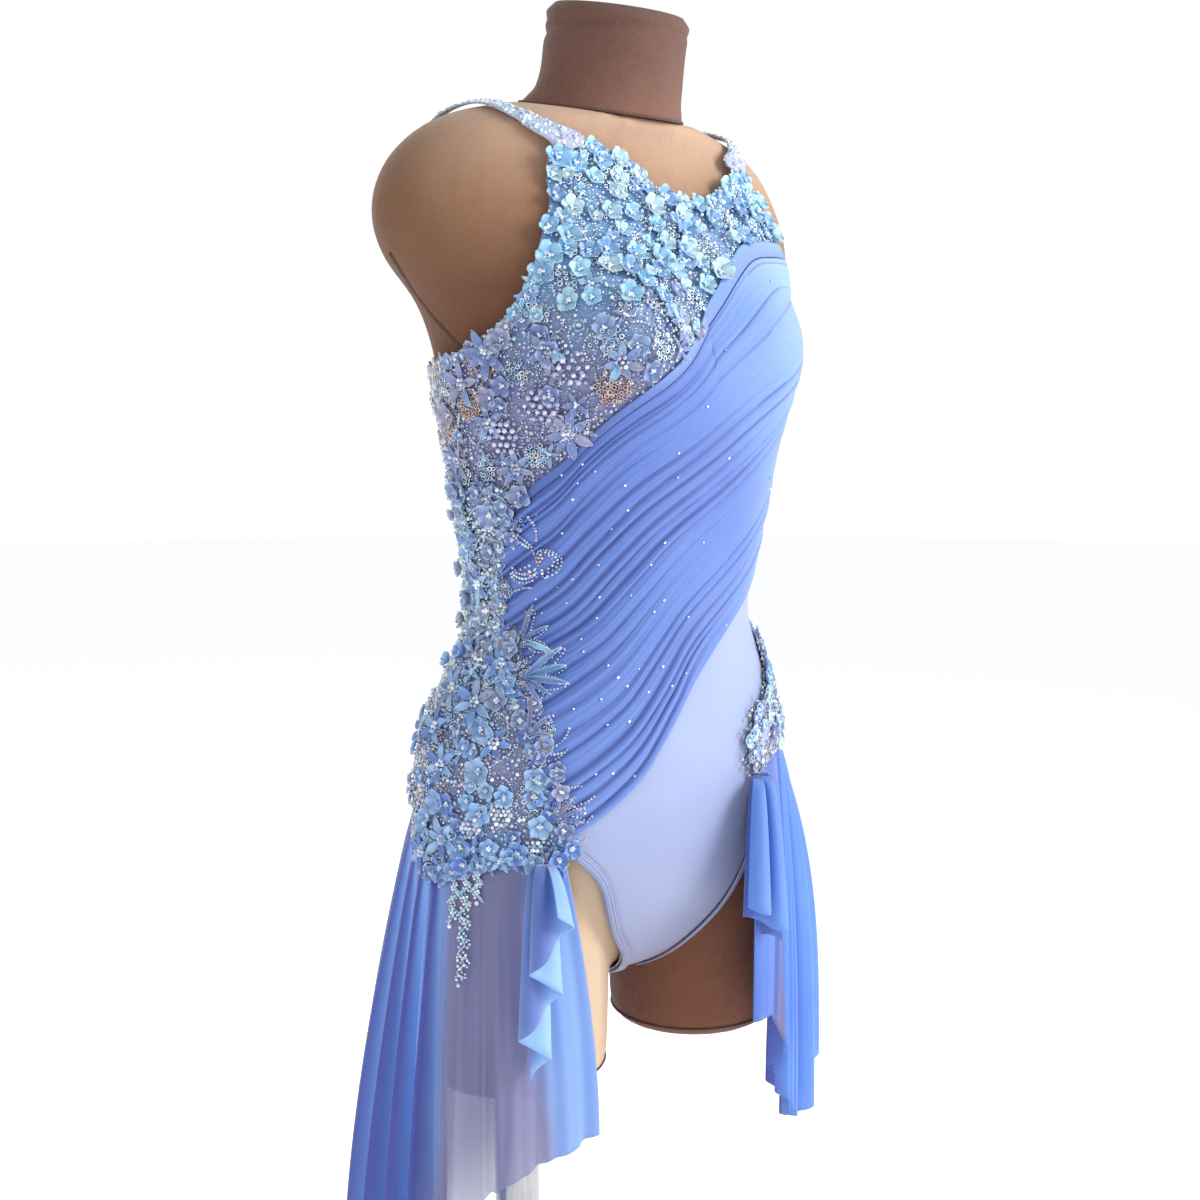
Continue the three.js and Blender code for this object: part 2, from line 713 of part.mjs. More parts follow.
function lathe(profile) {
  const geometry = new THREE.LatheGeometry(profile.map(([r, z]) => new THREE.Vector2(r, z)), 32);
  geometry.rotateX(Math.PI / 2);
  geometry.deleteAttribute('normal');
  geometry.deleteAttribute('uv');
  return closedGeometry(Array.from(geometry.attributes.position.array), Array.from(geometry.index.array));
}

function standBase() {
  return lathe([
    [0, 0], [BASE_RADIUS, 0], [BASE_RADIUS, BASE_HEIGHT - BASE_EDGE],
    [BASE_RADIUS - BASE_EDGE, BASE_HEIGHT], [0, BASE_HEIGHT],
  ]);
}

function standPole() {
  const foot = BASE_HEIGHT + SEAM_GAP;
  return lathe([
    [0, foot], [COLLAR_RADIUS, foot], [COLLAR_RADIUS, foot + COLLAR_HEIGHT - COLLAR_BEVEL],
    [COLLAR_RADIUS - COLLAR_BEVEL, foot + COLLAR_HEIGHT], [POLE_RADIUS, foot + COLLAR_HEIGHT],
    [POLE_RADIUS, THIGH_END - SEAM_GAP], [0, THIGH_END - SEAM_GAP],
  ]);
}

// Finishes

const FINISH = {
  lace: { color: 0xa9c4ea, roughness: 0.55 },
  lycra: { color: 0xb9c2ee, roughness: 0.45 },
  mesh: { color: 0x6f8fe2, roughness: 0.6 },
  beads: { color: 0xc9d6ec, roughness: 0.35 },
  formCover: { color: 0xb08a66, roughness: 0.85 },
  neckCover: { color: 0x7d5747, roughness: 0.85 },
  steel: { color: 0xb8b8ba, roughness: 0.35, metalness: 0.8 },
};

const dress = new THREE.Group();

function addPiece(name, geometry, finish, place = [0, 0, 0]) {
  geometry.computeVertexNormals();
  const mesh = new THREE.Mesh(geometry, new THREE.MeshStandardMaterial({ metalness: 0, ...finish }));
  mesh.name = name;
  mesh.position.set(...place);
  dress.add(mesh);
}

addPiece('bodice_front', bodiceFront(), FINISH.lace);
addPiece('brief_front', briefFront(), FINISH.lycra);
addPiece('back_panel', backPanel(), FINISH.lycra);
addPiece('strap_right', strap(1), FINISH.beads);
addPiece('strap_left', strap(-1), FINISH.beads);
addPiece('leg_binding_right', legBinding(-1), FINISH.lycra);
addPiece('leg_binding_left', legBinding(1), FINISH.lycra);
addPiece('sash_band', sashWall(18, 1, 0, SASH_BAND - BAND_SEAM), FINISH.mesh);
addPiece('sash_drape', sashWall(18, 42, SASH_BAND + BAND_SEAM, 1), FINISH.mesh);
addPiece('lace_side_right', laceWall(
  patch(LACE_FRONT, LACE_BACK, LACE_TOP, LACE_BOTTOM), hangPoint, 20, 9,
), FINISH.lace);
addPiece('lace_hip_left', laceWall(
  patch(HIP_LACE_TOP, HIP_LACE_BOTTOM, HIP_LACE_FRONT, HIP_LACE_BACK), hangPoint, 8, 6,
), FINISH.lace);
addPiece('skirt_right', hangingWall(60, 6, halfSkirt(RIGHT_SKIRT), MESH_WALL), FINISH.mesh);
addPiece('skirt_left', hangingWall(48, 6, halfSkirt(LEFT_SKIRT), MESH_WALL), FINISH.mesh);
addPiece('skirt_right_cascade', hangingWall(32, 3, cascadeSurface(RIGHT_CASCADE), MESH_WALL), FINISH.mesh);
addPiece('skirt_left_cascade', hangingWall(26, 3, cascadeSurface(LEFT_CASCADE), MESH_WALL), FINISH.mesh);
addPiece('form_body', formBody(), FINISH.formCover);
addPiece('form_neck', formNeck(), FINISH.neckCover);
addPiece('stand_pole', standPole(), FINISH.steel, [-THIGH[4].centre, 0, 0]);
addPiece('stand_base', standBase(), FINISH.steel);

export default dress;
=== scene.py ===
"""Looks of a lyrical dance dress on a limbless dress form.

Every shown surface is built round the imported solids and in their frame: the padded form
and its neck cap, the leotard, the gathered sash, the lace with its flowers, beads and
sequins, the two half skirts, and the camera, lights and paper ground.
Sizes are written in millimetres and become metres when a mesh is made. Angles run round
the body from the front centre, in degrees, negative towards the wearer's right.
"""

import logging
import math
from collections.abc import Callable
from dataclasses import dataclass, field
from enum import Enum

import bmesh
import bpy
import numpy as np
from mathutils import Matrix, Vector


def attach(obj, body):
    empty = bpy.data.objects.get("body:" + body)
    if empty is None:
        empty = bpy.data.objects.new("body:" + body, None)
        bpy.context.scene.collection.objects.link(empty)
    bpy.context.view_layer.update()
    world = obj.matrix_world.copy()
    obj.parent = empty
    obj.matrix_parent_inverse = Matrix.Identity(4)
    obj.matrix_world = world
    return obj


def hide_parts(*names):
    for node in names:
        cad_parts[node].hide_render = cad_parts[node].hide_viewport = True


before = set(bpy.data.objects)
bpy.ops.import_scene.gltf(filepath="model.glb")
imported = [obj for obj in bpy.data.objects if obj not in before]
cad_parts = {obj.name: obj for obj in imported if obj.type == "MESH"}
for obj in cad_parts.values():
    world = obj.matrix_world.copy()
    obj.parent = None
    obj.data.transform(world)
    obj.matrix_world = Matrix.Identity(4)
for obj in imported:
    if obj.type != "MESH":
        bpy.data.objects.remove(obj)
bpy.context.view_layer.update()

LOG = logging.getLogger("dance_dress")
Array = np.ndarray
Place = Callable[[Array, Array], Array]

MM = 0.001
BODY = "root"

# Levels and cloth lifts, as in the solids
HIP_LEVEL = 925.0
CROTCH_LEVEL = 800.0
WAIST_SEAM = 1112.0
NECK_BASE = 1424.0
CROTCH_EDGE = 800.15
SEAM_GAP = 0.3
SEAM_ANGLE = 0.09
ARC = 2.2
LEOTARD_LIFT = 2.0
LYCRA_WALL = 1.4
MESH_WALL = 1.2
LACE_WALL = 1.2
SASH_LIFT = 5.0
LACE_LIFT = 4.5
STRAP_LIFT = 0.8
BINDING_LIFT = 3.8
BINDING_WIDTH = 7.0
BINDING_INSET = 0.6
SASH_BAND = 0.05
CROTCH_SHARE = 0.12
ROW_BIAS = 1.35
FORM_EASE = 0.986

# Sections of the torso: level, half width, front depth, back depth, centre
TORSO_ROWS = (
    (925, 150, 93, 108, 3), (975, 146, 95, 102, 2), (1020, 129, 92, 86, 1),
    (1065, 110, 88, 72, 0), (1120, 113, 97, 74, 0), (1170, 123, 105, 82, 0),
    (1220, 134, 106, 91, 0), (1262, 142, 99, 97, 2), (1290, 153, 93, 98, 6),
    (1318, 176, 86, 98, 11), (1345, 184, 76, 94, 15), (1372, 177, 65, 87, 17),
    (1394, 159, 57, 79, 15), (1411, 125, 53, 71, 10), (1424, 71, 54, 66, 2),
)
# Crease in front of the right arm cap, as angle and level
ARM_CREASE = (
    (-96, 1318), (-96.5, 1312), (-99, 1304), (-101.5, 1295), (-99.5, 1286), (-95, 1275),
    (-89, 1265), (-83, 1255),
)
CUP_RISE = 29.0
CUP_SPREAD = 46.0
CUP_APART = 70.0
CUP_LEVEL = 1264.0

# Sections of a thigh stub: level, centre, half width, half depth
THIGH_ROWS = (
    (955, 74, 54, 40), (925, 79, 61, 51), (895, 84, 65, 59.5), (860, 87.5, 67.5, 65),
    (800, 88, 68, 66), (750, 88, 66.5, 64.5), (742, 88, 64, 62), (738, 88, 58, 56),
)
# Sections of the neck cap: level, radius, centre
NECK_ROWS = (
    (1424.3, 58, 9), (1430, 55, 5), (1437, 52, 1), (1450, 50.5, -3), (1470, 50, -6),
    (1488, 49.5, -9.5), (1495, 45.5, -11),
)
# Levels near the neck tip down towards the front
NECK_TIP = 0.2
NECK_TIP_FROM = 1385.0

# Edges as angle and level
NECK_AND_ARMHOLES = (
    (-89.91, 1250), (-78, 1256), (-64, 1271), (-49, 1297), (-40.5, 1314), (-34.5, 1333),
    (-30.5, 1352), (-29.5, 1384), (-22, 1392), (-15, 1388), (-8.5, 1383), (-4, 1367), (2, 1361),
    (8, 1358.5), (15, 1362), (21, 1371), (27, 1381), (32, 1386), (37.5, 1368), (41, 1338),
    (49.6, 1300), (62, 1276), (76, 1257), (89.91, 1250),
)
FRONT_LEG = (
    (89.91, 936), (70, 931), (55, 924.5), (45, 918.5), (37.3, 913.7), (29.6, 901),
    (24.4, 882), (20.3, 869), (13.5, 853), (10, 839), (6.7, 820), (5.5, CROTCH_EDGE),
)
BACK_LEG = (
    (89.91, 936), (70, 925), (55, 906), (40, 880), (28, 860), (17.5, 845), (10.5, 830),
    (7, 815), (5.5, CROTCH_EDGE),
)
BACK_TOP = (
    (90.09, 1250), (108, 1245), (128, 1240), (140, 1240), (148, 1245), (157, 1240),
    (180, 1228),
)
SASH_TOP = (
    (40, 1335), (29.4, 1333), (17.7, 1325), (5, 1291), (-8, 1261), (-26, 1232), (-39, 1206),
    (-48, 1186), (-58, 1171), (-66, 1158),
)
SASH_LEFT = (
    (40, 1335), (46.2, 1310), (52, 1298), (63, 1277), (76, 1260), (88, 1251), (89, 1215),
    (89, 1175), (89, 1140),
)
SASH_BOTTOM = (
    (89, 1140), (70, 1120), (48, 1100), (36, 1084), (16, 1058), (0, 1030), (-9, 1001),
    (-18, 968), (-26, 949), (-34, 935), (-41, 927),
)
SASH_RIGHT = (
    (-66, 1158), (-73, 1130), (-78, 1094), (-76, 1060), (-64, 1027), (-54, 994),
    (-47, 961), (-41, 927),
)
LACE_FRONT = tuple((angle - 0.9, level) for angle, level in SASH_RIGHT) + ((-40.5, 916),)
LACE_BACK = ((-112, 1172), (-120, 1120), (-122, 1060), (-118, 1000), (-115, 960), (-112, 934))
LACE_TOP = ((-66.9, 1158), (-80, 1168), (-96, 1166), (-112, 1172))
LACE_BOTTOM = (
    (-40.5, 916), (-55, 913), (-66, 908), (-78, 900), (-88, 896), (-98, 905), (-112, 934),
)
HIP_LACE_TOP = ((52, 1036), (70, 1046), (96, 1040))
HIP_LACE_FRONT = ((52, 1036), (44, 1010), (28, 992), (22, 968), (27, 951))
HIP_LACE_BACK = ((96, 1040), (101, 1012), (100, 984))
HIP_LACE_BOTTOM = ((27, 951), (45, 960), (60, 971), (75, 979), (100, 984))
STRAP_INNER = (
    (-21, 1389.5), (-22.5, 1398), (-30, 1405), (-44, 1411.5), (-66, 1416.3), (-90, 1418.6),
    (-112, 1417.3), (-128, 1409), (-143.5, 1386), (-149.7, 1345), (-152.3, 1305), (-152, 1270),
    (-151.5, 1238),
)
STRAP_OUTER = (
    (-28.5, 1380.5), (-30.5, 1389), (-37, 1397), (-48.5, 1407.3), (-67.5, 1413.3), (-90, 1416),
    (-111, 1414.5), (-126, 1404.5), (-140.5, 1382.5), (-146, 1343), (-147.8, 1304),
    (-147.6, 1269), (-147, 1238),
)


# Small numeric helpers

def blend(a: Array | float, b: Array | float, share: Array | float) -> Array:
    """Value between a and b."""
    return a + (b - a) * share


def ease(value: Array | float, low: Array | float, high: Array | float) -> Array:
    """Smooth step from 0 at low to 1 at high."""
    t = np.clip((np.asarray(value, float) - low) / (high - low), 0.0, 1.0)
    return t * t * (3 - 2 * t)


def unit(vectors: Array) -> Array:
    """Vectors of length one."""
    return vectors / np.maximum(np.linalg.norm(vectors, axis=-1, keepdims=True), 1e-9)


def paint(code: str) -> tuple[float, float, float, float]:
    """Linear colour of a hex code.

    Args:
        code: Six hex digits after a hash.

    Returns:
        Red, green, blue and alpha as the shader reads them.
    """
    parts = [int(code[i:i + 2], 16) / 255 for i in (1, 3, 5)]
    linear = [p / 12.92 if p <= 0.04045 else ((p + 0.055) / 1.055) ** 2.4 for p in parts]
    return (linear[0], linear[1], linear[2], 1.0)


class Line:
    """A smooth line through points, read by its share of length."""

    SAMPLES = 40

    def __init__(self, points: tuple | Array, relaxed: bool = False) -> None:
        """Samples the line.

        Args:
            points: Rows of two or three coordinates.
            relaxed: Centripetal knots, as the skirt hems have, instead of even ones.
        """
        p = np.asarray(points, float)
        if relaxed:
            q = np.vstack([2 * p[0] - p[1], p, 2 * p[-1] - p[-2]])
        else:
            q = np.vstack([p[0], p, p[-1]])
        t = np.linspace(0, 1, self.SAMPLES, endpoint=False)[:, None]
        spans = []
        for i in range(len(p) - 1):
            a, b, c, d = q[i:i + 4]
            if relaxed:
                ab, bc, cd = (np.linalg.norm(y - x) ** 0.5 for x, y in ((a, b), (b, c), (c, d)))
                start = ((b - a) / ab - (c - a) / (ab + bc) + (c - b) / bc) * bc
                end = ((c - b) / bc - (d - b) / (bc + cd) + (d - c) / cd) * bc
            else:
                start, end = (c - a) / 2, (d - b) / 2
            spans.append(
                b + start * t + (3 * (c - b) - 2 * start - end) * t**2
                + (2 * (b - c) + start + end) * t**3
            )
        self.points = np.vstack([*spans, p[-1:]])
        steps = np.linalg.norm(np.diff(self.points, axis=0), axis=1)
        self.length = float(steps.sum())
        self.shares = np.concatenate([[0], np.cumsum(steps)]) / self.length

    def at(self, share: Array | float) -> Array:
        """Point at a share of the length.

        Args:
            share: Shares of the length.

        Returns:
            Points.
        """
        share = np.clip(share, 0, 1)
        return np.stack(
            [np.interp(share, self.shares, column) for column in self.points.T], axis=-1
        )

    def heading(self, share: Array | float) -> Array:
        """Direction at a share of the length."""
        return unit(self.at(np.asarray(share) + 0.002) - self.at(np.asarray(share) - 0.002))


def edge(rows: tuple) -> Line:
    """Line through rows of angle and level, measured along the cloth."""
    return Line([(angle * ARC, level) for angle, level in rows])


def on_edge(line: Line, share: Array | float) -> Array:
    """Angle and level at a share of an edge's length."""
    return line.at(share) / np.array([ARC, 1.0])


class Patch:
    """Surface coordinates between four edges that meet at their ends."""

    def __init__(self, top: tuple, bottom: tuple, start: tuple, end: tuple) -> None:
        """Keeps the four edges as lines."""
        self.top, self.bottom, self.start, self.end = map(edge, (top, bottom, start, end))

    def at(self, s: Array, t: Array) -> tuple[Array, Array]:
        """Angle and level at a place across (s) and down (t).

        Args:
            s: Shares across.
            t: Shares down.

        Returns:
            Angles and levels.
        """
        s1, t1 = np.asarray(s)[..., None], np.asarray(t)[..., None]
        across = blend(on_edge(self.top, s), on_edge(self.bottom, s), t1)
        down = blend(on_edge(self.start, t), on_edge(self.end, t), s1)
        corners = blend(
            blend(on_edge(self.top, 0), on_edge(self.top, 1), s1),
            blend(on_edge(self.bottom, 0), on_edge(self.bottom, 1), s1),
            t1,
        )
        place = across + down - corners
        return place[..., 0], place[..., 1]

    def outline(self, count: int = 60) -> Array:
        """Closed outline as rows of angle and level.

        Args:
            count: Points a side.

        Returns:
            Angles and levels.
        """
        t = np.linspace(0, 1, count)
        return np.vstack([
            on_edge(self.top, t), on_edge(self.end, t),
            on_edge(self.bottom, 1 - t), on_edge(self.start, 1 - t),
        ])


class Figure:
    """The general figure that everything lies on, read by angle and level."""

    def __init__(self) -> None:
        """Works out the slopes of the section table."""
        self.rows = np.array(TORSO_ROWS, float)
        z = self.rows[:, 0]
        low = np.maximum(np.arange(len(z)) - 1, 0)
        high = np.minimum(np.arange(len(z)) + 1, len(z) - 1)
        self.slopes = (self.rows[high] - self.rows[low]) / (z[high] - z[low])[:, None]

    def section(self, level: Array) -> Array:
        """Half width, front, back and centre at each level.

        Args:
            level: Heights in millimetres.

        Returns:
            The four numbers, each for every level.
        """
        z = self.rows[:, 0]
        i = np.clip(np.searchsorted(z, level, side="right") - 1, 0, len(z) - 2)
        span = (z[i + 1] - z[i])[..., None]
        t = (np.asarray(level, float)[..., None] - z[i][..., None]) / span
        found = (
            (2 * t**3 - 3 * t**2 + 1) * self.rows[i] + (3 * t**2 - 2 * t**3) * self.rows[i + 1]
            + (t**3 - 2 * t**2 + t) * span * self.slopes[i]
            + (t**3 - t**2) * span * self.slopes[i + 1]
        )
        return np.moveaxis(found[..., 1:], -1, 0)

    def torso(self, angle: Array, level: Array) -> Array:
        """Points of the torso.

        Args:
            angle: Degrees round the body.
            level: Heights in millimetres.

        Returns:
            Points in mm.
        """
        angle, level = np.broadcast_arrays(np.asarray(angle, float), np.asarray(level, float))
        turn = np.radians(angle)
        forward = np.cos(turn)
        half, front, back, centre = self.section(level)
        x = half * np.sin(turn)
        away = ((np.abs(x) - CUP_APART) / CUP_SPREAD) ** 2 + ((level - CUP_LEVEL) / CUP_SPREAD) ** 2
        cup = CUP_RISE * np.exp(-away) * np.clip(2.2 * forward, 0, 1)
        depth = np.where(forward > 0, front, back)
        y = centre - depth * forward - cup
        tip = NECK_TIP * y * ease(level, NECK_TIP_FROM, NECK_BASE)
        return np.stack([x, y, level + tip], axis=-1)

    def seat(self, angle: Array, level: Array) -> Array:
        """Points under the hip line, closing as half an ellipsoid.

        Args:
            angle: Degrees round the body.
            level: Heights in millimetres.

        Returns:
            Points in mm.
        """
        _, half, front, back, centre = self.rows[0]
        turn = np.radians(angle)
        forward = np.cos(turn)
        drop = HIP_LEVEL - CROTCH_LEVEL
        phi = np.pi / 2 * (HIP_LEVEL - level) / drop
        depth = np.where(forward > 0, front, back)
        return np.stack([
            half * np.sin(turn), centre - depth * forward * np.cos(phi),
            HIP_LEVEL - drop * np.abs(forward) * np.sin(phi),
        ], axis=-1)

    def body(self, angle: Array, level: Array) -> Array:
        """Points of torso and seat.

        Args:
            angle: Degrees round the body.
            level: Heights in millimetres.

        Returns:
            Points in mm.
        """
        angle, level = np.broadcast_arrays(np.asarray(angle, float), np.asarray(level, float))
        above = (level >= HIP_LEVEL)[..., None]
        return np.where(
            above, self.torso(angle, np.maximum(level, HIP_LEVEL)),
            self.seat(angle, np.minimum(level, HIP_LEVEL)),
        )

    def hang(self, angle: Array, level: Array) -> Array:
        """Points of the torso, with the hip line carried straight down.

        Args:
            angle: Degrees round the body.
            level: Heights in millimetres.

        Returns:
            Points in mm.
        """
        angle, level = np.broadcast_arrays(np.asarray(angle, float), np.asarray(level, float))
        points = self.torso(angle, np.maximum(level, HIP_LEVEL))
        drop = np.maximum(HIP_LEVEL - level, 0)
        points[..., 0] *= 1 + 0.0008 * drop
        points[..., 2] = level
        return points

    @staticmethod
    def outward(place: Place, angle: Array, level: Array) -> Array:
        """Directions out of the surface.

        Args:
            place: Surface, read by angle and level.
            angle: Degrees round the body.
            level: Heights in millimetres.

        Returns:
            Unit vectors.
        """
        round_it = place(angle + 0.4, level) - place(angle - 0.4, level)
        up = place(angle, level + 0.8) - place(angle, level - 0.8)
        return unit(np.cross(round_it, up))

    def lifted(self, place: Place, angle: Array, level: Array, lift: Array | float) -> Array:
        """Points a distance off the surface."""
        lift = np.asarray(lift, float)
        return place(angle, level) + self.outward(place, angle, level) * lift[..., None]


FIGURE = Figure()


# Shader writing

class Term:
    """A shader value that can be written in sums."""

    def __init__(self, recipe: "Recipe", socket: bpy.types.NodeSocket) -> None:
        """Wraps one output socket."""
        self.recipe = recipe
        self.socket = socket

    def _math(self, operation: str, first: object, second: object) -> "Term":
        """Adds one Math node."""
        node = self.recipe.node("Math", {"operation": operation}, {0: first, 1: second})
        return Term(self.recipe, node.outputs[0])

    def __add__(self, other: object) -> "Term":
        """Sum."""
        return self._math("ADD", self, other)

    def __sub__(self, other: object) -> "Term":
        """Difference."""
        return self._math("SUBTRACT", self, other)

    def __rsub__(self, other: object) -> "Term":
        """Difference from a number."""
        return self._math("SUBTRACT", other, self)

    def __mul__(self, other: object) -> "Term":
        """Product."""
        return self._math("MULTIPLY", self, other)

    __radd__ = __add__
    __rmul__ = __mul__


class Graph:
    """A node tree and the one way in which nodes come into it."""

    def __init__(self, tree: bpy.types.NodeTree) -> None:
        """Keeps the tree."""
        self.tree = tree

    def node(
        self, kind: str, settings: dict | None = None, inputs: dict | None = None
    ) -> bpy.types.Node:
        """Adds a node.

        Args:
            kind: Node type without its common prefix.
            settings: Properties set first; "stops" holds a ramp's places and colours.
            inputs: Values or links by socket name or index.

        Returns:
            The node.
        """
        made = self.tree.nodes.new("ShaderNode" + kind)
        for key, value in (settings or {}).items():
            if key == "stops":
                ramp = made.color_ramp.elements
                for element, (place, colour) in zip((ramp[0], ramp[1]), (value[0], value[-1])):
                    element.position, element.color = place, colour
                for place, colour in value[1:-1]:
                    ramp.new(place).color = colour
            else:
                setattr(made, key, value)
        for key, value in (inputs or {}).items():
            self.feed(made.inputs[key], value)
        return made

    def feed(self, socket: bpy.types.NodeSocket, value: object) -> None:
        """Links or sets one input.

        Args:
            socket: The input.
            value: A term, an output socket or a value.
        """
        if isinstance(value, Term):
            value = value.socket
        if isinstance(value, bpy.types.NodeSocket):
            self.tree.links.new(value, socket)
        else:
            socket.default_value = value


class Recipe(Graph):
    """One material and the nodes that make it."""

    def __init__(self, name: str) -> None:
        """Starts the material with its shader alone.

        Args:
            name: The material's name.
        """
        self.material = bpy.data.materials.new(name)
        self.material.use_nodes = True
        super().__init__(self.material.node_tree)
        self.shader = self.tree.nodes["Principled BSDF"]

    def surface(self, **values: object) -> None:
        """Feeds the shader's sockets, named with underscores for spaces."""
        for key, value in values.items():
            self.feed(self.shader.inputs[key.replace("_", " ")], value)

    def here(self) -> Term:
        """Object coordinates."""
        return Term(self, self.node("TexCoord").outputs["Object"])

    def mark(self, name: str) -> Term:
        """A number that the mesh carries."""
        return Term(self, self.node("Attribute", {"attribute_name": name}).outputs["Fac"])

    def tint(self, name: str) -> Term:
        """A colour that the mesh carries."""
        return Term(self, self.node("Attribute", {"attribute_name": name}).outputs["Color"])

    def noise(self, scale: float, detail: float = 2.0, where: Term | None = None) -> Term:
        """Cloud noise of so many cells a metre."""
        inputs = {"Scale": scale, "Detail": detail, "Vector": where or self.here()}
        return Term(self, self.node("TexNoise", None, inputs).outputs[0])

    def wave(self, scale: float, distortion: float, direction: str = "Z") -> Term:
        """Straight bands.

        Args:
            scale: Cells in a metre.
            distortion: Waviness.
            direction: Axis across the bands.

        Returns:
            Its height.
        """
        settings = {"wave_type": "BANDS", "bands_direction": direction}
        inputs = {"Scale": scale, "Distortion": distortion, "Vector": self.here()}
        return Term(self, self.node("TexWave", settings, inputs).outputs["Fac"])

    def cells(self, scale: float, feature: str = "F1") -> Term:
        """Distance in a cell pattern.

        Args:
            scale: Cells in a metre.
            feature: What is measured.

        Returns:
            The distance.
        """
        inputs = {"Scale": scale, "Vector": self.here()}
        node = self.node("TexVoronoi", {"feature": feature}, inputs)
        return Term(self, node.outputs["Distance"])

    def mix(self, share: object, low: object, high: object, way: str = "MIX") -> Term:
        """Colour between two.

        Args:
            share: Share of the second.
            low: First colour.
            high: Second colour.
            way: Blend mode.

        Returns:
            The colour.
        """
        settings = {"data_type": "RGBA", "blend_type": way}
        node = self.node("Mix", settings, {0: share, 6: low, 7: high})
        return Term(self, node.outputs[2])

    def span(self, value: Term, low: float, high: float) -> Term:
        """Value brought from low and high to 0 and 1, and held there."""
        node = self.node("MapRange", {"clamp": True}, {0: value, 1: low, 2: high, 3: 0.0, 4: 1.0})
        return Term(self, node.outputs[0])

    def bump(self, height: Term, distance: float, strength: float = 1.0) -> Term:
        """Normal of a low relief, in metres."""
        inputs = {"Height": height, "Distance": distance, "Strength": strength}
        return Term(self, self.node("Bump", None, inputs).outputs[0])


@dataclass(frozen=True)
class FoldedMesh:
    """Fine stretch mesh, with painted highlights on its ridges, painted light on its lit side and
    painted shade, deep blue, in its folds.
    """

    name: str
    pale: str
    middle: str
    deep: str
    sheer: str | None = None

    def make(self) -> bpy.types.Material:
        """Builds the material from three marks: the painted shade of the folds, the painted light
        and the cover.

        Returns:
            The material.
        """
        r = Recipe(self.name)
        fold, glow = r.mark("fold"), r.mark("glow")
        cloud = r.noise(14.0, 3.0)
        # Painted light: the mesh turns paler where light falls on it.
        lit_share = r.span(glow + (cloud - 0.5) * 0.25, 0.0, 1.0)
        base = r.mix(lit_share, paint(self.middle), paint(self.pale))
        # Painted shade: the deep colour fills the valleys.
        colour = r.mix(r.span(fold, 0.08, 0.8), paint(self.deep), base)
        # Painted highlight: pale on the ridges, more on the lit side.
        ridge = r.span(fold, 0.6, 1.0) * (0.08 + glow * 0.3)
        colour = r.mix(ridge, colour, paint(self.pale))
        weave = r.noise(1400.0, 1.0) + r.wave(900.0, 0.6, "DIAGONAL") * 0.5
        colour = r.mix(weave * 0.07, colour, paint("#e6ebff"))
        r.surface(
            Base_Color=colour, Roughness=0.5 + cloud * 0.14, Sheen_Weight=0.25,
            Sheen_Roughness=0.4, Normal=r.bump(weave, distance=0.0003, strength=0.5),
        )
        if self.sheer:
            cover = r.mark("cover")
            veiled = r.mix(r.span(cover, 0.8, 0.94), paint(self.sheer), colour)
            r.surface(Base_Color=veiled, Alpha=cover + (cloud - 0.5) * 0.1)
        return r.material


@dataclass(frozen=True)
class SatinStretch:
    """Satin stretch cloth of the leotard."""

    name: str
    light: str
    dark: str
    foot: str

    def make(self) -> bpy.types.Material:
        """Builds the material, darker towards the crotch with painted shade.

        Returns:
            The material.
        """
        r = Recipe(self.name)
        cloud = r.noise(9.0, 2.0)
        ribs = r.wave(420.0, 0.4, "X")
        height = Term(r, r.node("SeparateXYZ", None, {0: r.here()}).outputs[2])
        colour = r.mix(r.span(cloud, 0.0, 0.9), paint(self.dark), paint(self.light))
        # Painted shade: the foot colour darkens the cloth towards the crotch.
        colour = r.mix((1 - r.span(height, 0.8, 0.95)) * 0.85, colour, paint(self.foot))
        colour = r.mix(ribs * 0.08, colour, paint("#f3f1ff"))
        r.surface(
            Base_Color=colour, Roughness=0.34 + cloud * 0.16, Sheen_Weight=0.3,
            Normal=r.bump(ribs + r.noise(900.0) * 0.6, distance=0.0002, strength=0.4),
        )
        return r.material


@dataclass(frozen=True)
class LaceNet:
    """Net ground of the lace, with its cells in relief."""

    name: str
    upper: str
    lower: str
    thread: str
    plain: str = "#9faed4"

    def make(self) -> bpy.types.Material:
        """Builds the material from the marks high and plain.

        Returns:
            The material.
        """
        r = Recipe(self.name)
        cell = r.span(r.cells(420.0, "DISTANCE_TO_EDGE"), 0.0, 0.22)
        patch = r.noise(60.0, 3.0)
        share = r.span(r.mark("high") + (patch - 0.5) * 0.8, 0.1, 0.9)
        ground = r.mix(share, paint(self.lower), paint(self.upper))
        colour = r.mix((1 - cell) * 0.45, ground, paint(self.thread))
        colour = r.mix(r.mark("plain"), colour, paint(self.plain))
        r.surface(
            Base_Color=colour, Roughness=0.6 - patch * 0.2, Sheen_Weight=0.2,
            Normal=r.bump((1 - cell) + patch, distance=0.0007, strength=0.8),
        )
        return r.material


@dataclass(frozen=True)
class Organza:
    """Cut petals and leaves: each has its own colour, deeper at the root."""

    name: str
    rim: str
    root: str

    def make(self) -> bpy.types.Material:
        """Builds the material from the marks paint and along.

        Returns:
            The material.
        """
        r = Recipe(self.name)
        along = r.mark("along")
        veins = r.noise(380.0, 2.0)
        root = r.mix(0.55, r.tint("paint"), paint(self.root))
        colour = r.mix(r.span(along, 0.05, 0.6), root, r.tint("paint"))
        colour = r.mix(r.span(along, 0.7, 1.0) * 0.5, colour, paint(self.rim))
        colour = r.mix(veins * 0.12, colour, paint("#ffffff"))
        r.surface(
            Base_Color=colour, Roughness=0.38 + veins * 0.2, Sheen_Weight=0.4,
            Normal=r.bump(veins, distance=0.0004, strength=0.5),
        )
        return r.material


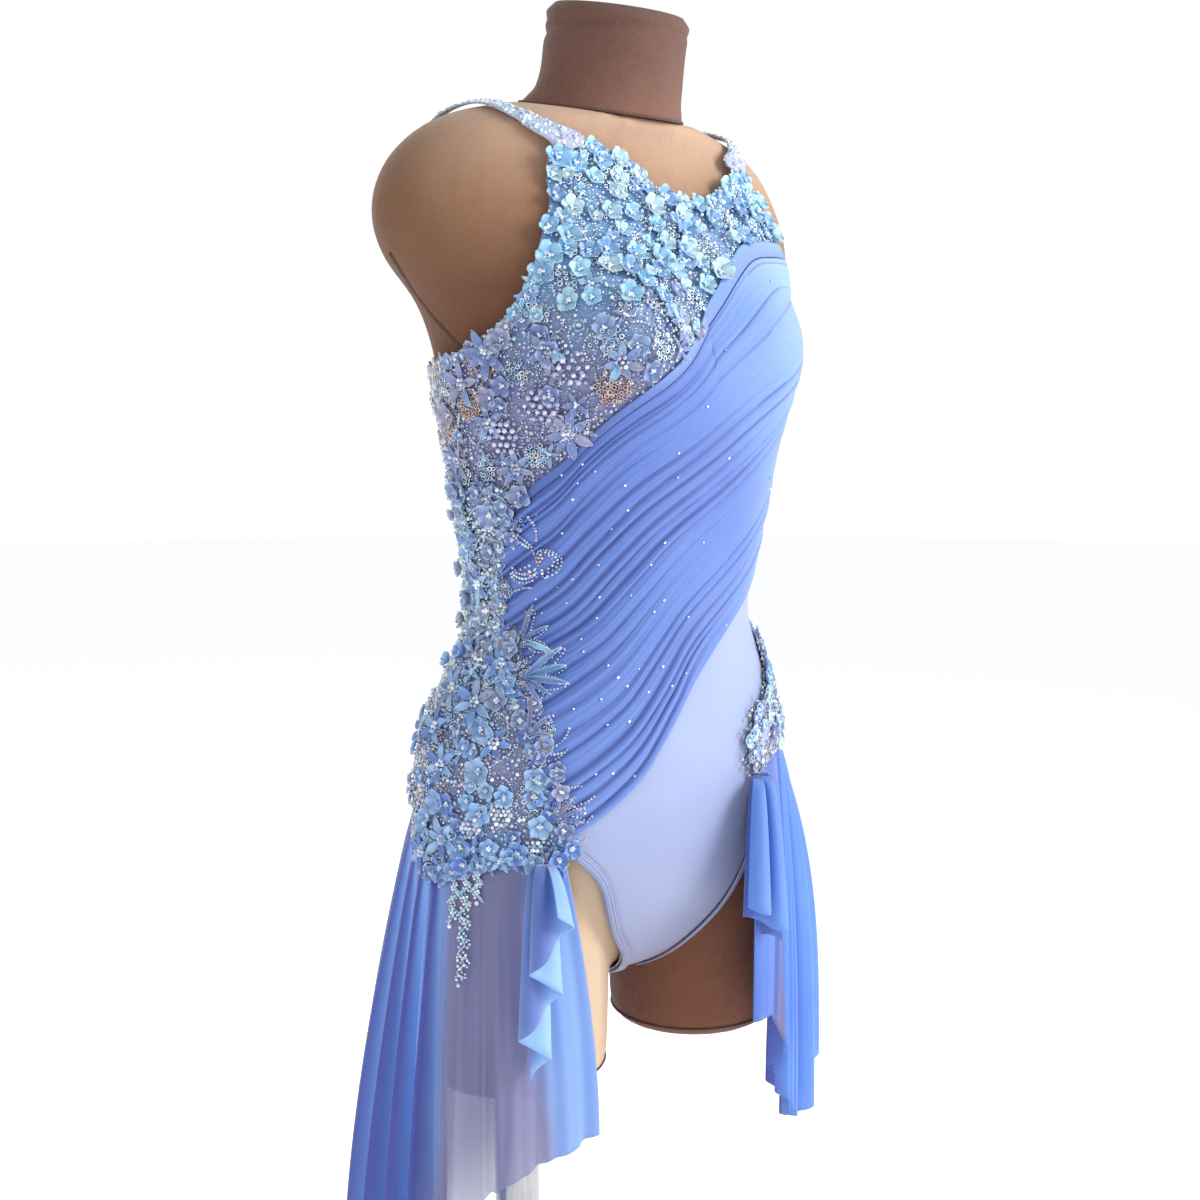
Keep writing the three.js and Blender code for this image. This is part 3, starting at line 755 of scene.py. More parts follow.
@dataclass(frozen=True)
class Glass:
    """Beads, pearls, sequins and stones in their own colours, with painted white glints."""

    name: str
    roughness: float
    metal: float
    coat: float

    def make(self) -> bpy.types.Material:
        """Builds the material from the mark paint.

        Returns:
            The material.
        """
        r = Recipe(self.name)
        glint = r.noise(260.0, 1.0)
        # Painted glints: white patches mixed into the bead colour.
        colour = r.mix(r.span(glint, 0.35, 0.75) * 0.35, r.tint("paint"), paint("#ffffff"))
        r.surface(
            Base_Color=colour, Roughness=self.roughness + glint * 0.1, Metallic=self.metal,
            Coat_Weight=self.coat, Coat_Roughness=0.08,
        )
        return r.material


@dataclass(frozen=True)
class FormCotton:
    """Matt woven cover of the dress form; on the form its tones pale towards the top, partly its
    own two tones and partly painted light above and painted shade below.
    """

    name: str
    tones: tuple[tuple[float, str], ...]
    low: float = 1240.0
    high: float = 1420.0
    near: str | None = None

    def make(self) -> bpy.types.Material:
        """Builds the material from tones at shares of the height, with painted light on the right
        thigh and painted shade at the outer right side.

        Returns:
            The material.
        """
        r = Recipe(self.name)
        axes = r.node("SeparateXYZ", None, {0: r.here()}).outputs
        across, height = Term(r, axes[0]), Term(r, axes[2])
        cloud = r.noise(9.0, 4.0)
        # Tones up the height: partly the cover's own two tones, partly painted light above and
        # painted shade below.
        share = r.span(height + (cloud - 0.5) * 0.05, self.low * MM, self.high * MM)
        stops = [(place, paint(code)) for place, code in self.tones]
        colour = Term(r, r.node("ValToRGB", {"stops": stops}, {0: share}).outputs[0])
        threads = r.wave(520.0, 0.8, "Z") + r.wave(520.0, 0.8, "X")
        slub = r.noise(620.0, 2.0)
        pucker = r.span(r.noise(55.0, 4.0), 0.35, 0.75)
        colour = r.mix(slub * 0.12, colour, paint("#e9cdb0"))
        # Painted light on the right thigh stub, and painted shade down the outer right side.
        if self.near:
            share = (1 - r.span(across, -0.06, -0.01)) * (1 - r.span(height, 0.9, 0.96))
            colour = r.mix(share, colour, paint(self.near))
            outer = (1 - r.span(across, -0.19, -0.08)) * 0.7
            colour = r.mix(outer, colour, paint("#644028"))
        r.surface(
            Base_Color=colour, Roughness=0.76 + slub * 0.2, Sheen_Weight=0.1,
            Normal=r.bump(threads * 0.3 + slub * 0.6 + pucker * 3.0, distance=0.0005, strength=0.7),
        )
        return r.material


@dataclass(frozen=True)
class BrushedSteel:
    """Brushed and lacquered steel of the stand."""

    name: str
    light: str
    dark: str

    def make(self) -> bpy.types.Material:
        """Builds the material.

        Returns:
            The material.
        """
        r = Recipe(self.name)
        drawn_out = {"Vector": r.here(), "Scale": (1.0, 1.0, 0.04)}
        where = Term(r, r.node("Mapping", None, drawn_out).outputs[0])
        grain = r.noise(900.0, 3.0, where)
        wear = r.noise(14.0, 4.0)
        colour = r.mix(r.span(grain + wear * 0.5, 0.4, 1.1), paint(self.dark), paint(self.light))
        r.surface(
            Base_Color=colour, Roughness=0.26 + grain * 0.22, Metallic=1.0,
            Normal=r.bump(grain, distance=0.0001, strength=0.4),
        )
        return r.material


@dataclass(frozen=True)
class PaperGround:
    """Pale paper under and behind the part."""

    name: str
    tone: str

    def make(self) -> bpy.types.Material:
        """Builds the material.

        Returns:
            The material.
        """
        r = Recipe(self.name)
        fibre = r.noise(60.0, 3.0)
        colour = r.mix(fibre * 0.04, paint(self.tone), paint("#e9e9ec"))
        r.surface(
            Base_Color=colour, Roughness=0.9, Emission_Color=colour, Emission_Strength=0.475,
        )
        return r.material


class Finishes:
    """Every finish, made once."""

    def __init__(self) -> None:
        """Builds the materials."""
        # Pale, middle and deep are the lit, plain and shaded tones of one mesh: painted light and
        # painted shade.
        self.sash = FoldedMesh("periwinkle_mesh", "#8eb6fb", "#4064b9", "#16247e").make()
        self.veil = FoldedMesh("sheer_mesh", "#92bffb", "#447fe2", "#1d35a2", "#8383b0").make()
        self.lycra = SatinStretch("lavender_satin", "#a6b7d9", "#8a97c6", "#74739a").make()
        self.net = LaceNet("lace_net", "#68a3da", "#787cb0", "#b9c4de").make()
        self.pale_net = LaceNet("pale_net", "#b3bbdc", "#9ea6d6", "#e3e8f4").make()
        self.organza = Organza("organza_petals", "#cfe9fa", "#3f6cc0").make()
        self.bead = Glass("glass_beads", roughness=0.12, metal=0.15, coat=0.8).make()
        self.sequin = Glass("sequins", roughness=0.2, metal=0.65, coat=0.3).make()
        # Form cover: partly its own two tones, partly painted light on the chest and shoulders and
        # painted shade lower down; the near tone is painted light on the right thigh.
        self.form = FormCotton("form_cotton", (
            (0.0, "#682e14"), (0.35, "#6b3920"), (0.62, "#9d7152"), (1.0, "#cba88f"),
        ), near="#dcbea0").make()
        self.neck = FormCotton("neck_cotton", (
            (0.0, "#7b4e41"), (0.4, "#623931"), (1.0, "#58332b"),
        ), 1410.0, 1500.0).make()
        # Dark seam cord: partly a real seam, partly painted shade in the arm creases and under the
        # neck cap.
        self.seam = FormCotton("seam_thread", ((0.0, "#3a1c10"), (1.0, "#4a2717"))).make()
        self.steel = BrushedSteel("brushed_steel", "#c3c3c6", "#8d8d92").make()
        self.paper = PaperGround("pale_paper", "#fbfbfb").make()


# Mesh making

def mapped_grid(
    name: str, columns: int, rows: int, place: Place, marks: dict[str, Place] | None = None,
    flip: bool = False,
) -> bpy.types.Object:
    """A grid laid on a surface.

    Args:
        name: Name of the piece.
        columns: Faces across.
        rows: Faces down.
        place: Points in millimetres from shares across and down.
        marks: Numbers that the vertices carry, from the same shares.
        flip: Turns the faces round.

    Returns:
        The new object.
    """
    shape = bmesh.new()
    bmesh.ops.create_grid(shape, x_segments=columns, y_segments=rows, size=0.5)
    if flip:
        bmesh.ops.reverse_faces(shape, faces=shape.faces[:])
    mesh = bpy.data.meshes.new(name)
    shape.to_mesh(mesh)
    shape.free()
    flat = np.empty(len(mesh.vertices) * 3, np.float32)
    mesh.vertices.foreach_get("co", flat)
    u, v = (flat.reshape(-1, 3)[:, :2].astype(float) + 0.5).clip(0, 1).T
    mesh.vertices.foreach_set("co", (place(u, v) * MM).astype(np.float32).ravel())
    for key, rule in (marks or {}).items():
        held = mesh.attributes.new(key, "FLOAT", "POINT")
        held.data.foreach_set("value", np.broadcast_to(rule(u, v), u.shape).astype(np.float32))
    mesh.update()
    made = bpy.data.objects.new(name, mesh)
    bpy.context.scene.collection.objects.link(made)
    return made


def finish_piece(
    piece: bpy.types.Object, material: bpy.types.Material,
    replaces: tuple[str, ...] = (), wall: float = 0.0, offset: float = -1.0,
) -> bpy.types.Object:
    """Gives a piece its material, wall, body and CAD nodes.

    Args:
        piece: The piece.
        material: Its finish.
        replaces: CAD nodes that it stands for.
        wall: Cloth thickness in millimetres, or 0 for none.
        offset: Side of the surface that the wall lies on.

    Returns:
        The piece.
    """
    piece.data.materials.clear()
    piece.data.materials.append(material)
    piece.data.polygons.foreach_set("use_smooth", [True] * len(piece.data.polygons))
    if wall:
        thick = piece.modifiers.new("cloth_wall", "SOLIDIFY")
        thick.thickness = wall * MM
        thick.offset = offset
    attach(piece, BODY)
    if replaces:
        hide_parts(*replaces)
    LOG.info("%s: %d faces", piece.name, len(piece.data.polygons))
    return piece


class Folds:
    """Uneven gathered folds with sharp valleys and round ridges."""

    def __init__(self, count: int, seed: int, wander: float, late: float) -> None:
        """Draws the valleys.

        Args:
            count: Folds across the cloth.
            seed: Random seed.
            wander: How far a valley strays, in folds.
            late: Share of folds that only start part of the way along.
        """
        rng = np.random.default_rng(seed)
        self.count = count
        steps = rng.uniform(0.4, 2.0, count)
        self.home = np.concatenate([[0], np.cumsum(steps)]) / steps.sum()
        self.stray = wander / count * rng.uniform(-1, 1, count + 1)
        self.pace = rng.uniform(2.0, 5.0, count + 1)
        self.phase = rng.uniform(0, 6.28, count + 1)
        self.start = np.where(rng.random(count) < late, rng.uniform(0.1, 0.6, count), -0.4)
        self.height = rng.uniform(0.4, 1.0, count)
        self.lean = rng.uniform(0.6, 1.6, count)

    def _ridges(self, along: Array, across: Array) -> tuple[Array, Array]:
        """Shape and strength of the ridge at each place along and across.

        Args:
            along: Shares along the folds.
            across: Shares across them.

        Returns:
            Ridge shapes and strengths, from 0 to 1.
        """
        ridge, strength = np.zeros_like(across), np.zeros_like(across)
        for value in np.unique(np.round(along, 6)):
            here = np.abs(along - value) < 5e-6
            valley = self.home + self.stray * np.sin(self.pace * value + self.phase)
            valley[0], valley[-1] = -1e-3, 1.001
            valley = np.sort(valley)
            i = np.clip(np.searchsorted(valley, across[here], side="right") - 1, 0, self.count - 1)
            x = (across[here] - valley[i]) / (valley[i + 1] - valley[i])
            ridge[here] = np.sin(np.pi * np.clip(x, 0, 1) ** self.lean[i]) ** 0.6
            strength[here] = self.height[i] * ease(value, self.start[i], self.start[i] + 0.45)
        return ridge, strength

    def at(self, along: Array, across: Array) -> Array:
        """Height from 0 to 1 along the folds and across them."""
        ridge, strength = self._ridges(along, across)
        return ridge * strength

    def shade(self, along: Array, across: Array) -> Array:
        """Painted shade: lightness, 0 in a deep valley and 1 on a ridge or on loose cloth."""
        ridge, strength = self._ridges(along, across)
        return 1 - (1 - ridge) * np.minimum(1.3 * strength, 1)


# Small sewn shapes

class Trim(Enum):
    """Small shapes that are sewn on."""

    BEAD = "bead"
    RING = "ring"
    STONE = "stone"
    TUBE = "tube"
    PETAL = "petal"
    LEAF = "leaf"


def trim_shape(trim: Trim) -> bmesh.types.BMesh:
    """One small shape of unit size, its root at the origin and its top along +Z.

    Args:
        trim: Which shape.

    Returns:
        A new bmesh, freed by the caller.
    """
    shape = bmesh.new()
    if trim is Trim.BEAD:
        bmesh.ops.create_icosphere(shape, subdivisions=1, radius=0.5)
        bmesh.ops.translate(shape, verts=shape.verts, vec=(0, 0, 0.38))
    elif trim is Trim.RING:
        rim = bmesh.ops.create_circle(shape, segments=3, radius=0.14)["verts"]
        bmesh.ops.rotate(shape, verts=rim, matrix=Matrix.Rotation(math.pi / 2, 3, "X"))
        bmesh.ops.scale(shape, verts=rim, vec=(1.3, 1, 0.8))
        bmesh.ops.translate(shape, verts=rim, vec=(0.36, 0, 0.14))
        bmesh.ops.spin(
            shape, geom=shape.verts[:] + shape.edges[:], cent=(0, 0, 0), axis=(0, 0, 1),
            angle=2 * math.pi, steps=6, use_merge=True,
        )
        bmesh.ops.remove_doubles(shape, verts=shape.verts, dist=1e-4)
        bmesh.ops.recalc_face_normals(shape, faces=shape.faces)
    elif trim is Trim.STONE:
        bmesh.ops.create_cone(
            shape, cap_ends=True, segments=7, radius1=0.5, radius2=0.26, depth=0.3,
        )
        bmesh.ops.translate(shape, verts=shape.verts, vec=(0, 0, 0.15))
    elif trim is Trim.TUBE:
        bmesh.ops.create_cone(
            shape, cap_ends=True, segments=5, radius1=0.16, radius2=0.16, depth=1.0,
        )
        bmesh.ops.rotate(shape, verts=shape.verts, matrix=Matrix.Rotation(math.pi / 2, 3, "X"))
        bmesh.ops.translate(shape, verts=shape.verts, vec=(0, 0.5, 0.16))
    else:
        bmesh.ops.create_grid(shape, x_segments=3, y_segments=4, size=0.5)
        pointed = trim is Trim.LEAF
        for vert in shape.verts:
            x, y = vert.co.x, vert.co.y + 0.5
            if pointed:
                width = 0.34 * math.sin(math.pi * min(y, 1.0)) ** 0.9 + 0.02
                rise = 0.14 * math.sin(2.4 * y) + 0.5 * x * x
            else:
                width = 0.2 + 0.78 * math.sin(2.45 * y**0.9)
                rise = 0.26 * y * y + 0.5 * x * x * y + 0.05 * math.sin(9 * x) * y
                y -= 0.8 * x * x * y**3
            vert.co = Vector((x * width, y, rise))
    return shape


class Sewn:
    """Many copies of one small shape, joined into one mesh."""

    def __init__(self, trim: Trim) -> None:
        """Reads the unit shape.

        Args:
            trim: The shape.
        """
        shape = trim_shape(trim)
        shape.verts.ensure_lookup_table()
        self.verts = np.array([v.co for v in shape.verts])
        self.faces = [[v.index for v in f.verts] for f in shape.faces]
        self.along = np.clip(self.verts[:, 1], 0, 1)
        shape.free()
        self.parts: list[Array] = []
        self.paints: list[Array] = []

    def add(
        self, spot: Array, normal: Array, heading: Array, size: Array | float,
        colour: Array, wide: Array | float = 1.0, tilt: Array | float = 0.0,
    ) -> None:
        """Sews copies on.

        Args:
            spot: Root points, in millimetres.
            normal: Directions out of the cloth.
            heading: Directions of the shape's length, near the cloth.
            size: Lengths in millimetres.
            colour: Linear colours.
            wide: Width as a share of the length.
            tilt: How far the tip rises, in radians.
        """
        spot = np.atleast_2d(spot)
        count = len(spot)
        normal = np.broadcast_to(normal, spot.shape)
        heading = np.broadcast_to(heading, spot.shape)
        size = np.broadcast_to(np.asarray(size, float), (count,))[:, None]
        wide = np.broadcast_to(np.asarray(wide, float), (count,))[:, None]
        tilt = np.broadcast_to(np.asarray(tilt, float), (count,))[:, None]
        forward = unit(heading - normal * (heading * normal).sum(1, keepdims=True))
        side = np.cross(forward, normal)
        ahead = forward * np.cos(tilt) + normal * np.sin(tilt)
        up = normal * np.cos(tilt) - forward * np.sin(tilt)
        x, y, z = self.verts.T
        points = (
            spot[:, None] + (side * size * wide)[:, None] * x[:, None]
            + (ahead * size)[:, None] * y[:, None] + (up * size)[:, None] * z[:, None]
        )
        self.parts.append(points.reshape(-1, 3))
        colour = np.broadcast_to(np.asarray(colour, float)[..., :3], (count, 3))
        self.paints.append(np.repeat(colour, len(self.verts), axis=0))

    def build(self, name: str) -> bpy.types.Object:
        """Joins the copies into one object.

        Args:
            name: The piece's name.

        Returns:
            The object.
        """
        points = np.vstack(self.parts)
        count = len(points) // len(self.verts)
        mesh = bpy.data.meshes.new(name)
        faces: list[list[int]] = []
        for k in range(count):
            base = k * len(self.verts)
            faces.extend([[base + i for i in face] for face in self.faces])
        mesh.from_pydata((points * MM).tolist(), [], faces)
        colours = np.hstack([np.vstack(self.paints), np.ones((len(points), 1))])
        held = mesh.attributes.new("paint", "FLOAT_COLOR", "POINT")
        held.data.foreach_set("color", colours.astype(np.float32).ravel())
        mark = mesh.attributes.new("along", "FLOAT", "POINT")
        mark.data.foreach_set("value", np.tile(self.along, count).astype(np.float32))
        mesh.update()
        made = bpy.data.objects.new(name, mesh)
        bpy.context.scene.collection.objects.link(made)
        return made


class Ground:
    """A stretch of cloth that trims are sewn on."""

    def __init__(
        self, place: Place, lift: float, outline: Array, relief: Array | None = None
    ) -> None:
        """Keeps the cloth.

        Args:
            place: Surface under it, read by angle and level.
            lift: Its height over that surface.
            outline: Closed outline as angle and level.
            relief: Samples of the folds as across, up and height, or none.
        """
        self.place = place
        self.lift = lift
        self.outline = outline * np.array([ARC, 1.0])
        self.relief = relief

    def fold_height(self, points: Array) -> Array:
        """Height of the nearest sample of the folds.

        Args:
            points: Places across and up, in mm.

        Returns:
            Heights in mm.
        """
        if self.relief is None:
            return np.zeros(len(points))
        nearest = [((self.relief[:, :2] - p) ** 2).sum(1).argmin() for p in points]
        return self.relief[nearest, 2]

    def holds(self, points: Array) -> Array:
        """Whether points, across and up in millimetres, lie inside the outline.

        Args:
            points: Places across and up, in mm.

        Returns:
            Whether each is inside.
        """
        x, y = points[:, 0:1], points[:, 1:2]
        a, b = self.outline, np.roll(self.outline, -1, axis=0)
        crosses = (a[:, 1] > y) != (b[:, 1] > y)
        rise = np.where(a[:, 1] == b[:, 1], 1e-9, b[:, 1] - a[:, 1])
        hit = crosses & (x < (b[:, 0] - a[:, 0]) * (y - a[:, 1]) / rise + a[:, 0])
        return hit.sum(1) % 2 == 1

    def rim(self, points: Array) -> Array:
        """Distance to the outline."""
        return np.sqrt(((points[:, None] - self.outline[None]) ** 2).sum(-1)).min(1)

    def spread(self, spacing: float, tries: int, rng: np.random.Generator, inset: float) -> Array:
        """Points inside the outline, no two nearer than the spacing.

        Args:
            spacing: Least distance in mm.
            tries: Points drawn.
            rng: Random source.
            inset: Least distance to the outline.

        Returns:
            The points.
        """
        low, high = self.outline.min(0), self.outline.max(0)
        drawn = rng.uniform(low, high, (tries, 2))
        drawn = drawn[self.holds(drawn)]
        drawn = drawn[self.rim(drawn) > inset] if inset > 0 else drawn
        kept = np.empty((len(drawn), 2))
        count = 0
        for point in drawn:
            if count == 0 or ((kept[:count] - point) ** 2).sum(1).min() > spacing**2:
                kept[count] = point
                count += 1
        return kept[:count]

    def frame_at(
        self, points: Array, lift: Array | float = 0.0
    ) -> tuple[Array, Array, Array, Array]:
        """Spots, normals and the two directions, round and up, of points on the cloth.

        Args:
            points: Places across and up, in mm.
            lift: Height over the cloth.

        Returns:
            Four rows of vectors.
        """
        angle, level = points[:, 0] / ARC, points[:, 1]
        normal = FIGURE.outward(self.place, angle, level)
        height = self.lift + self.fold_height(points) + np.asarray(lift)
        spot = self.place(angle, level) + normal * height[..., None]
        round_it = unit(np.cross([0.0, 0.0, 1.0], normal))
        return spot, normal, round_it, np.cross(normal, round_it)


@dataclass(frozen=True)
class Palette:
    """Colours of one stretch of lace, from its top to its foot."""

    petals_high: tuple[str, ...] = ("#8fcdf1", "#abdff3", "#83bdeb", "#c6ecf6", "#6ba7e2")
    petals_low: tuple[str, ...] = ("#7488c4", "#858fbb", "#6a81c2", "#9a9abf", "#7fa0cf")
    beads_high: tuple[str, ...] = ("#ffffff", "#dff4fb", "#b6e0ec", "#9fc4f2", "#eef8ff")
    beads_low: tuple[str, ...] = ("#e6e9f2", "#aab6d6", "#93a3ae", "#bcb3d6", "#7f8fca")
    accent: tuple[str, ...] = ("#d8b3a4", "#c79c8b", "#e6cdc0", "#b99bb0")
    silver: tuple[str, ...] = ("#c3c8bd", "#969d88", "#dfe3e0", "#a5adbc", "#b9a9c4")
    pearls: tuple[str, ...] = ("#c9cdec", "#b4b9e4", "#dcdff4", "#a7a6d8")

    def pick(
        self, high: tuple[str, ...], low: tuple[str, ...], share: Array,
        rng: np.random.Generator,
    ) -> Array:
        """Colours drawn from the high or the low list by share.

        Args:
            high: Colours of the top.
            low: Colours of the foot.
            share: Share of the top's colours, for each.
            rng: Random source.

        Returns:
            Linear colours.
        """
        table_high = np.array([paint(c)[:3] for c in high])
        table_low = np.array([paint(c)[:3] for c in low])
        count = len(share)
        chosen = np.where(
            (rng.random(count) < share)[:, None],
            table_high[rng.integers(0, len(high), count)],
            table_low[rng.integers(0, len(low), count)],
        )
        return chosen * rng.uniform(0.8, 1.1, (count, 1))


class LaceTrim:
    """Flowers, leaves, beads and sequins over one stretch of cloth."""

    def __init__(
        self, ground: Ground, palette: Palette, fade: tuple[float, float], seed: int
    ) -> None:
        """Starts the trims.

        Args:
            ground: What they are sewn on.
            palette: Their colours.
            fade: Levels at which the colours are the low and the high ones.
            seed: Random seed.
        """
        self.ground = ground
        self.palette = palette
        self.fade = fade
        self.rng = np.random.default_rng(seed)
        self.sewn = {trim: Sewn(trim) for trim in Trim}

    def share(self, points: Array) -> Array:
        """How much of the high colours points take."""
        return ease(points[:, 1], *self.fade)

    def blossom(
        self, point: Array, radius: float, petals: int, trim: Trim, lift: float,
        tilt: float = 0.35, hearts: int = 7,
    ) -> None:
        """One flower.

        Args:
            point: Middle, across and up in millimetres.
            radius: Length of its petals.
            petals: How many.
            trim: Petal or leaf shape.
            lift: Height over the cloth.
            tilt: Rise of the petals in radians.
            hearts: Pearls at its heart.
        """
        rng = self.rng
        spot, normal, round_it, up = self.ground.frame_at(point[None], lift)
        turn = rng.uniform(0, 6.28) + np.arange(petals) * 2 * np.pi / petals
        turn += rng.uniform(-0.12, 0.12, petals)
        heading = np.cos(turn)[:, None] * round_it + np.sin(turn)[:, None] * up
        share = np.repeat(self.share(point[None]), petals)
        base = self.palette.pick(self.palette.petals_high, self.palette.petals_low, share[:1], rng)
        colour = base * rng.uniform(0.86, 1.08, (petals, 1))
        size = radius * rng.uniform(0.88, 1.1, petals)
        root = spot + heading * radius * 0.06
        rise = tilt * rng.uniform(0.6, 1.3, petals)
        self.sewn[trim].add(root, normal, heading, size, colour, 0.95, rise)
        if hearts:
            ring = np.arange(hearts) * 2 * np.pi / max(hearts - 1, 1)
            reach = np.where(np.arange(hearts) == 0, 0.0, 0.16 * radius)
            east, north = np.cos(ring) * reach, np.sin(ring) * reach
            offset = east[:, None] * round_it + north[:, None] * up
            pearly = np.repeat(share[:1] * 0.6 + 0.4, hearts)
            pearl = self.palette.pick(
                self.palette.beads_high, self.palette.beads_low, pearly, rng
            )
            self.sewn[Trim.BEAD].add(
                spot + offset + normal * 0.6, normal, round_it, rng.uniform(2.1, 3.0, hearts), pearl
            )

    def beads(
        self, points: Array, size: float, lift: Array | float, trim: Trim = Trim.BEAD,
        colours: tuple[str, ...] | None = None,
    ) -> None:
        """Beads, rings or stones at points.

        Args:
            points: Places across and up, in mm.
            size: Size in mm.
            lift: Height over the cloth.
            trim: Their shape.
            colours: Their colours, or none for the ground's own.
        """
        if len(points) == 0:
            return
        rng = self.rng
        spot, normal, round_it, up = self.ground.frame_at(points, lift)
        turn = rng.uniform(0, 6.28, len(points))[:, None]
        heading = np.cos(turn) * round_it + np.sin(turn) * up
        lean = unit(normal + rng.normal(0, 0.22, normal.shape)) if trim is not Trim.BEAD else normal
        if colours:
            colour = self.palette.pick(colours, colours, np.ones(len(points)), rng)
        else:
            colour = self.palette.pick(
                self.palette.beads_high, self.palette.beads_low, self.share(points), rng
            )
        self.sewn[trim].add(spot, lean, heading, size * rng.uniform(0.8, 1.2, len(points)), colour)

    def trail(
        self, start: Array, bearing: float, count: int, pitch: float, curl: float, size: float
    ) -> None:
        """A curved row of seed beads.

        Args:
            start: Where it starts.
            bearing: Its heading in radians.
            count: Beads.
            pitch: Distance between them.
            curl: Turn from one to the next.
            size: Size in mm.
        """
        turn = bearing + curl * np.arange(count)
        step = np.stack([np.cos(turn), np.sin(turn)], axis=1) * pitch
        points = start + np.cumsum(step, axis=0)
        self.beads(points[self.ground.holds(points)], size=size, lift=0.2)

    def cluster(
        self, point: Array, radius: float, pitch: float, size: float, trim: Trim,
        colours: tuple[str, ...] | None = None, lift: float = 0.3,
    ) -> None:
        """A packed patch of beads or sequins.

        Args:
            point: Its middle.
            radius: Its radius in mm.
            pitch: Distance between trims.
            size: Size in mm.
            trim: Their shape.
            colours: Their colours, or none for the ground's own.
            lift: Height over the cloth.
        """
        steps = int(radius / pitch) + 1
        grid = [
            (pitch * (i + 0.5 * (j % 2)), pitch * 0.87 * j)
            for i in range(-steps, steps + 1) for j in range(-steps, steps + 1)
        ]
        points = np.array([g for g in grid if math.hypot(*g) <= radius])
        points += self.rng.normal(0, pitch * 0.07, points.shape)
        points = points + point
        self.beads(points[self.ground.holds(points)], size, lift, trim, colours)

    def leaf(
        self, point: Array, bearing: float, length: float, lift: float, wide: float = 1.0,
        tilt: float = 0.12,
    ) -> None:
        """One leaf, with a few seed beads along its middle.

        Args:
            point: Its root, across and up in mm.
            bearing: Its heading in radians.
            length: Its length in mm.
            lift: Height over the cloth.
            wide: Width as a share of the length.
            tilt: Rise in radians.
        """
        spot, normal, round_it, up = self.ground.frame_at(point[None], lift)
        heading = math.cos(bearing) * round_it + math.sin(bearing) * up
        colour = self.palette.pick(
            self.palette.petals_high, self.palette.petals_low, self.share(point[None]), self.rng
        )
        self.sewn[Trim.LEAF].add(spot, normal, heading, length, colour, wide, tilt)
        ahead = [math.cos(bearing), math.sin(bearing)]
        row = point + np.outer(np.linspace(0.15, 0.85, 5) * length, ahead)
        self.beads(row, size=1.5, lift=lift + 0.12 * length * 0.6)

    def filler(
        self, spacing: float, tries: int, sizes: tuple[float, float], mix: dict[Trim, float],
        inset: float = 0.5,
    ) -> None:
        """Loose trims all over the cloth.

        Args:
            spacing: Least distance in mm.
            tries: Points drawn.
            sizes: The small and the large size.
            mix: Odds of each shape.
            inset: Least distance to the outline.
        """
        points = self.ground.spread(spacing, tries, self.rng, inset)
        kinds = list(mix)
        odds = np.array([mix[k] for k in kinds])
        drawn = self.rng.choice(len(kinds), len(points), p=odds / odds.sum())
        for i, kind in enumerate(kinds):
            chosen = points[drawn == i]
            small = self.rng.random(len(chosen)) < 0.6
            for part, size in ((chosen[small], sizes[0]), (chosen[~small], sizes[1])):
                over = self.rng.random(len(part)) ** 1.4 * (0.6 + 2.0 * self.share(part))
                self.beads(part, size, over, kind)

    def rim_beads(
        self, point: Array, bearing: float, length: float, width: float, lift: float
    ) -> None:
        """Seed beads round one pointed petal.

        Args:
            point: Its root, across and up in mm.
            bearing: Its heading in radians.
            length: Its length in mm.
            width: Its width in mm.
            lift: Height over the cloth.
        """
        t = np.linspace(0.08, 0.98, max(int(length / 2.4), 4))
        reach = 0.5 * width * np.sin(np.pi * t) ** 0.9 + 0.4
        ahead = np.array([math.cos(bearing), math.sin(bearing)])
        aside = np.array([-ahead[1], ahead[0]])
        for hand in (-1, 1):
            points = point + np.outer(t * length, ahead) + np.outer(hand * reach, aside)
            self.beads(points[self.ground.holds(points)], size=1.7, lift=lift)

    def daisy(
        self, point: Array, radius: float, petals: int, pearls: float, lift: float = 0.8
    ) -> None:
        """A large flower of pointed, bead-edged petals with a heart of pearls.

        Args:
            point: Its middle.
            radius: Its radius in mm.
            petals: How many.
            pearls: Radius of its heart.
            lift: Height over the cloth.
        """
        rng = self.rng
        spot, normal, round_it, up = self.ground.frame_at(point[None], lift)
        first = rng.uniform(0, 6.28)
        share = self.share(point[None])
        for k in range(petals):
            bearing = first + k * 2 * np.pi / petals + rng.uniform(-0.12, 0.12)
            length = radius * rng.uniform(0.82, 1.08)
            heading = math.cos(bearing) * round_it + math.sin(bearing) * up
            colour = self.palette.pick(
                self.palette.petals_high, self.palette.petals_low, share * 0.4, rng
            )
            self.sewn[Trim.LEAF].add(
                spot + heading * radius * 0.12, normal, heading, length, colour, 1.2, 0.05,
            )
            root = point + radius * 0.12 * np.array([math.cos(bearing), math.sin(bearing)])
            self.rim_beads(root, bearing, length, 0.7 * length, lift + 1.2)
        self.cluster(
            point, radius=pearls, pitch=3.1, size=3.2, trim=Trim.BEAD, colours=None, lift=lift + 1.0
        )

    def tubes(self, points: Array, length: float) -> None:
        """Bugle beads that stand nearly upright.

        Args:
            points: Places across and up, in mm.
            length: Its length in mm.
        """
        if len(points) == 0:
            return
        rng = self.rng
        spot, normal, round_it, up = self.ground.frame_at(points, 0.1)
        heading = up + round_it * rng.normal(0, 0.16, len(points))[:, None]
        silver = self.palette.silver
        colour = self.palette.pick(silver, silver, np.ones(len(points)), rng)
        self.sewn[Trim.TUBE].add(
            spot, normal, heading, length * rng.uniform(0.7, 1.2, len(points)), colour, 1.0,
        )

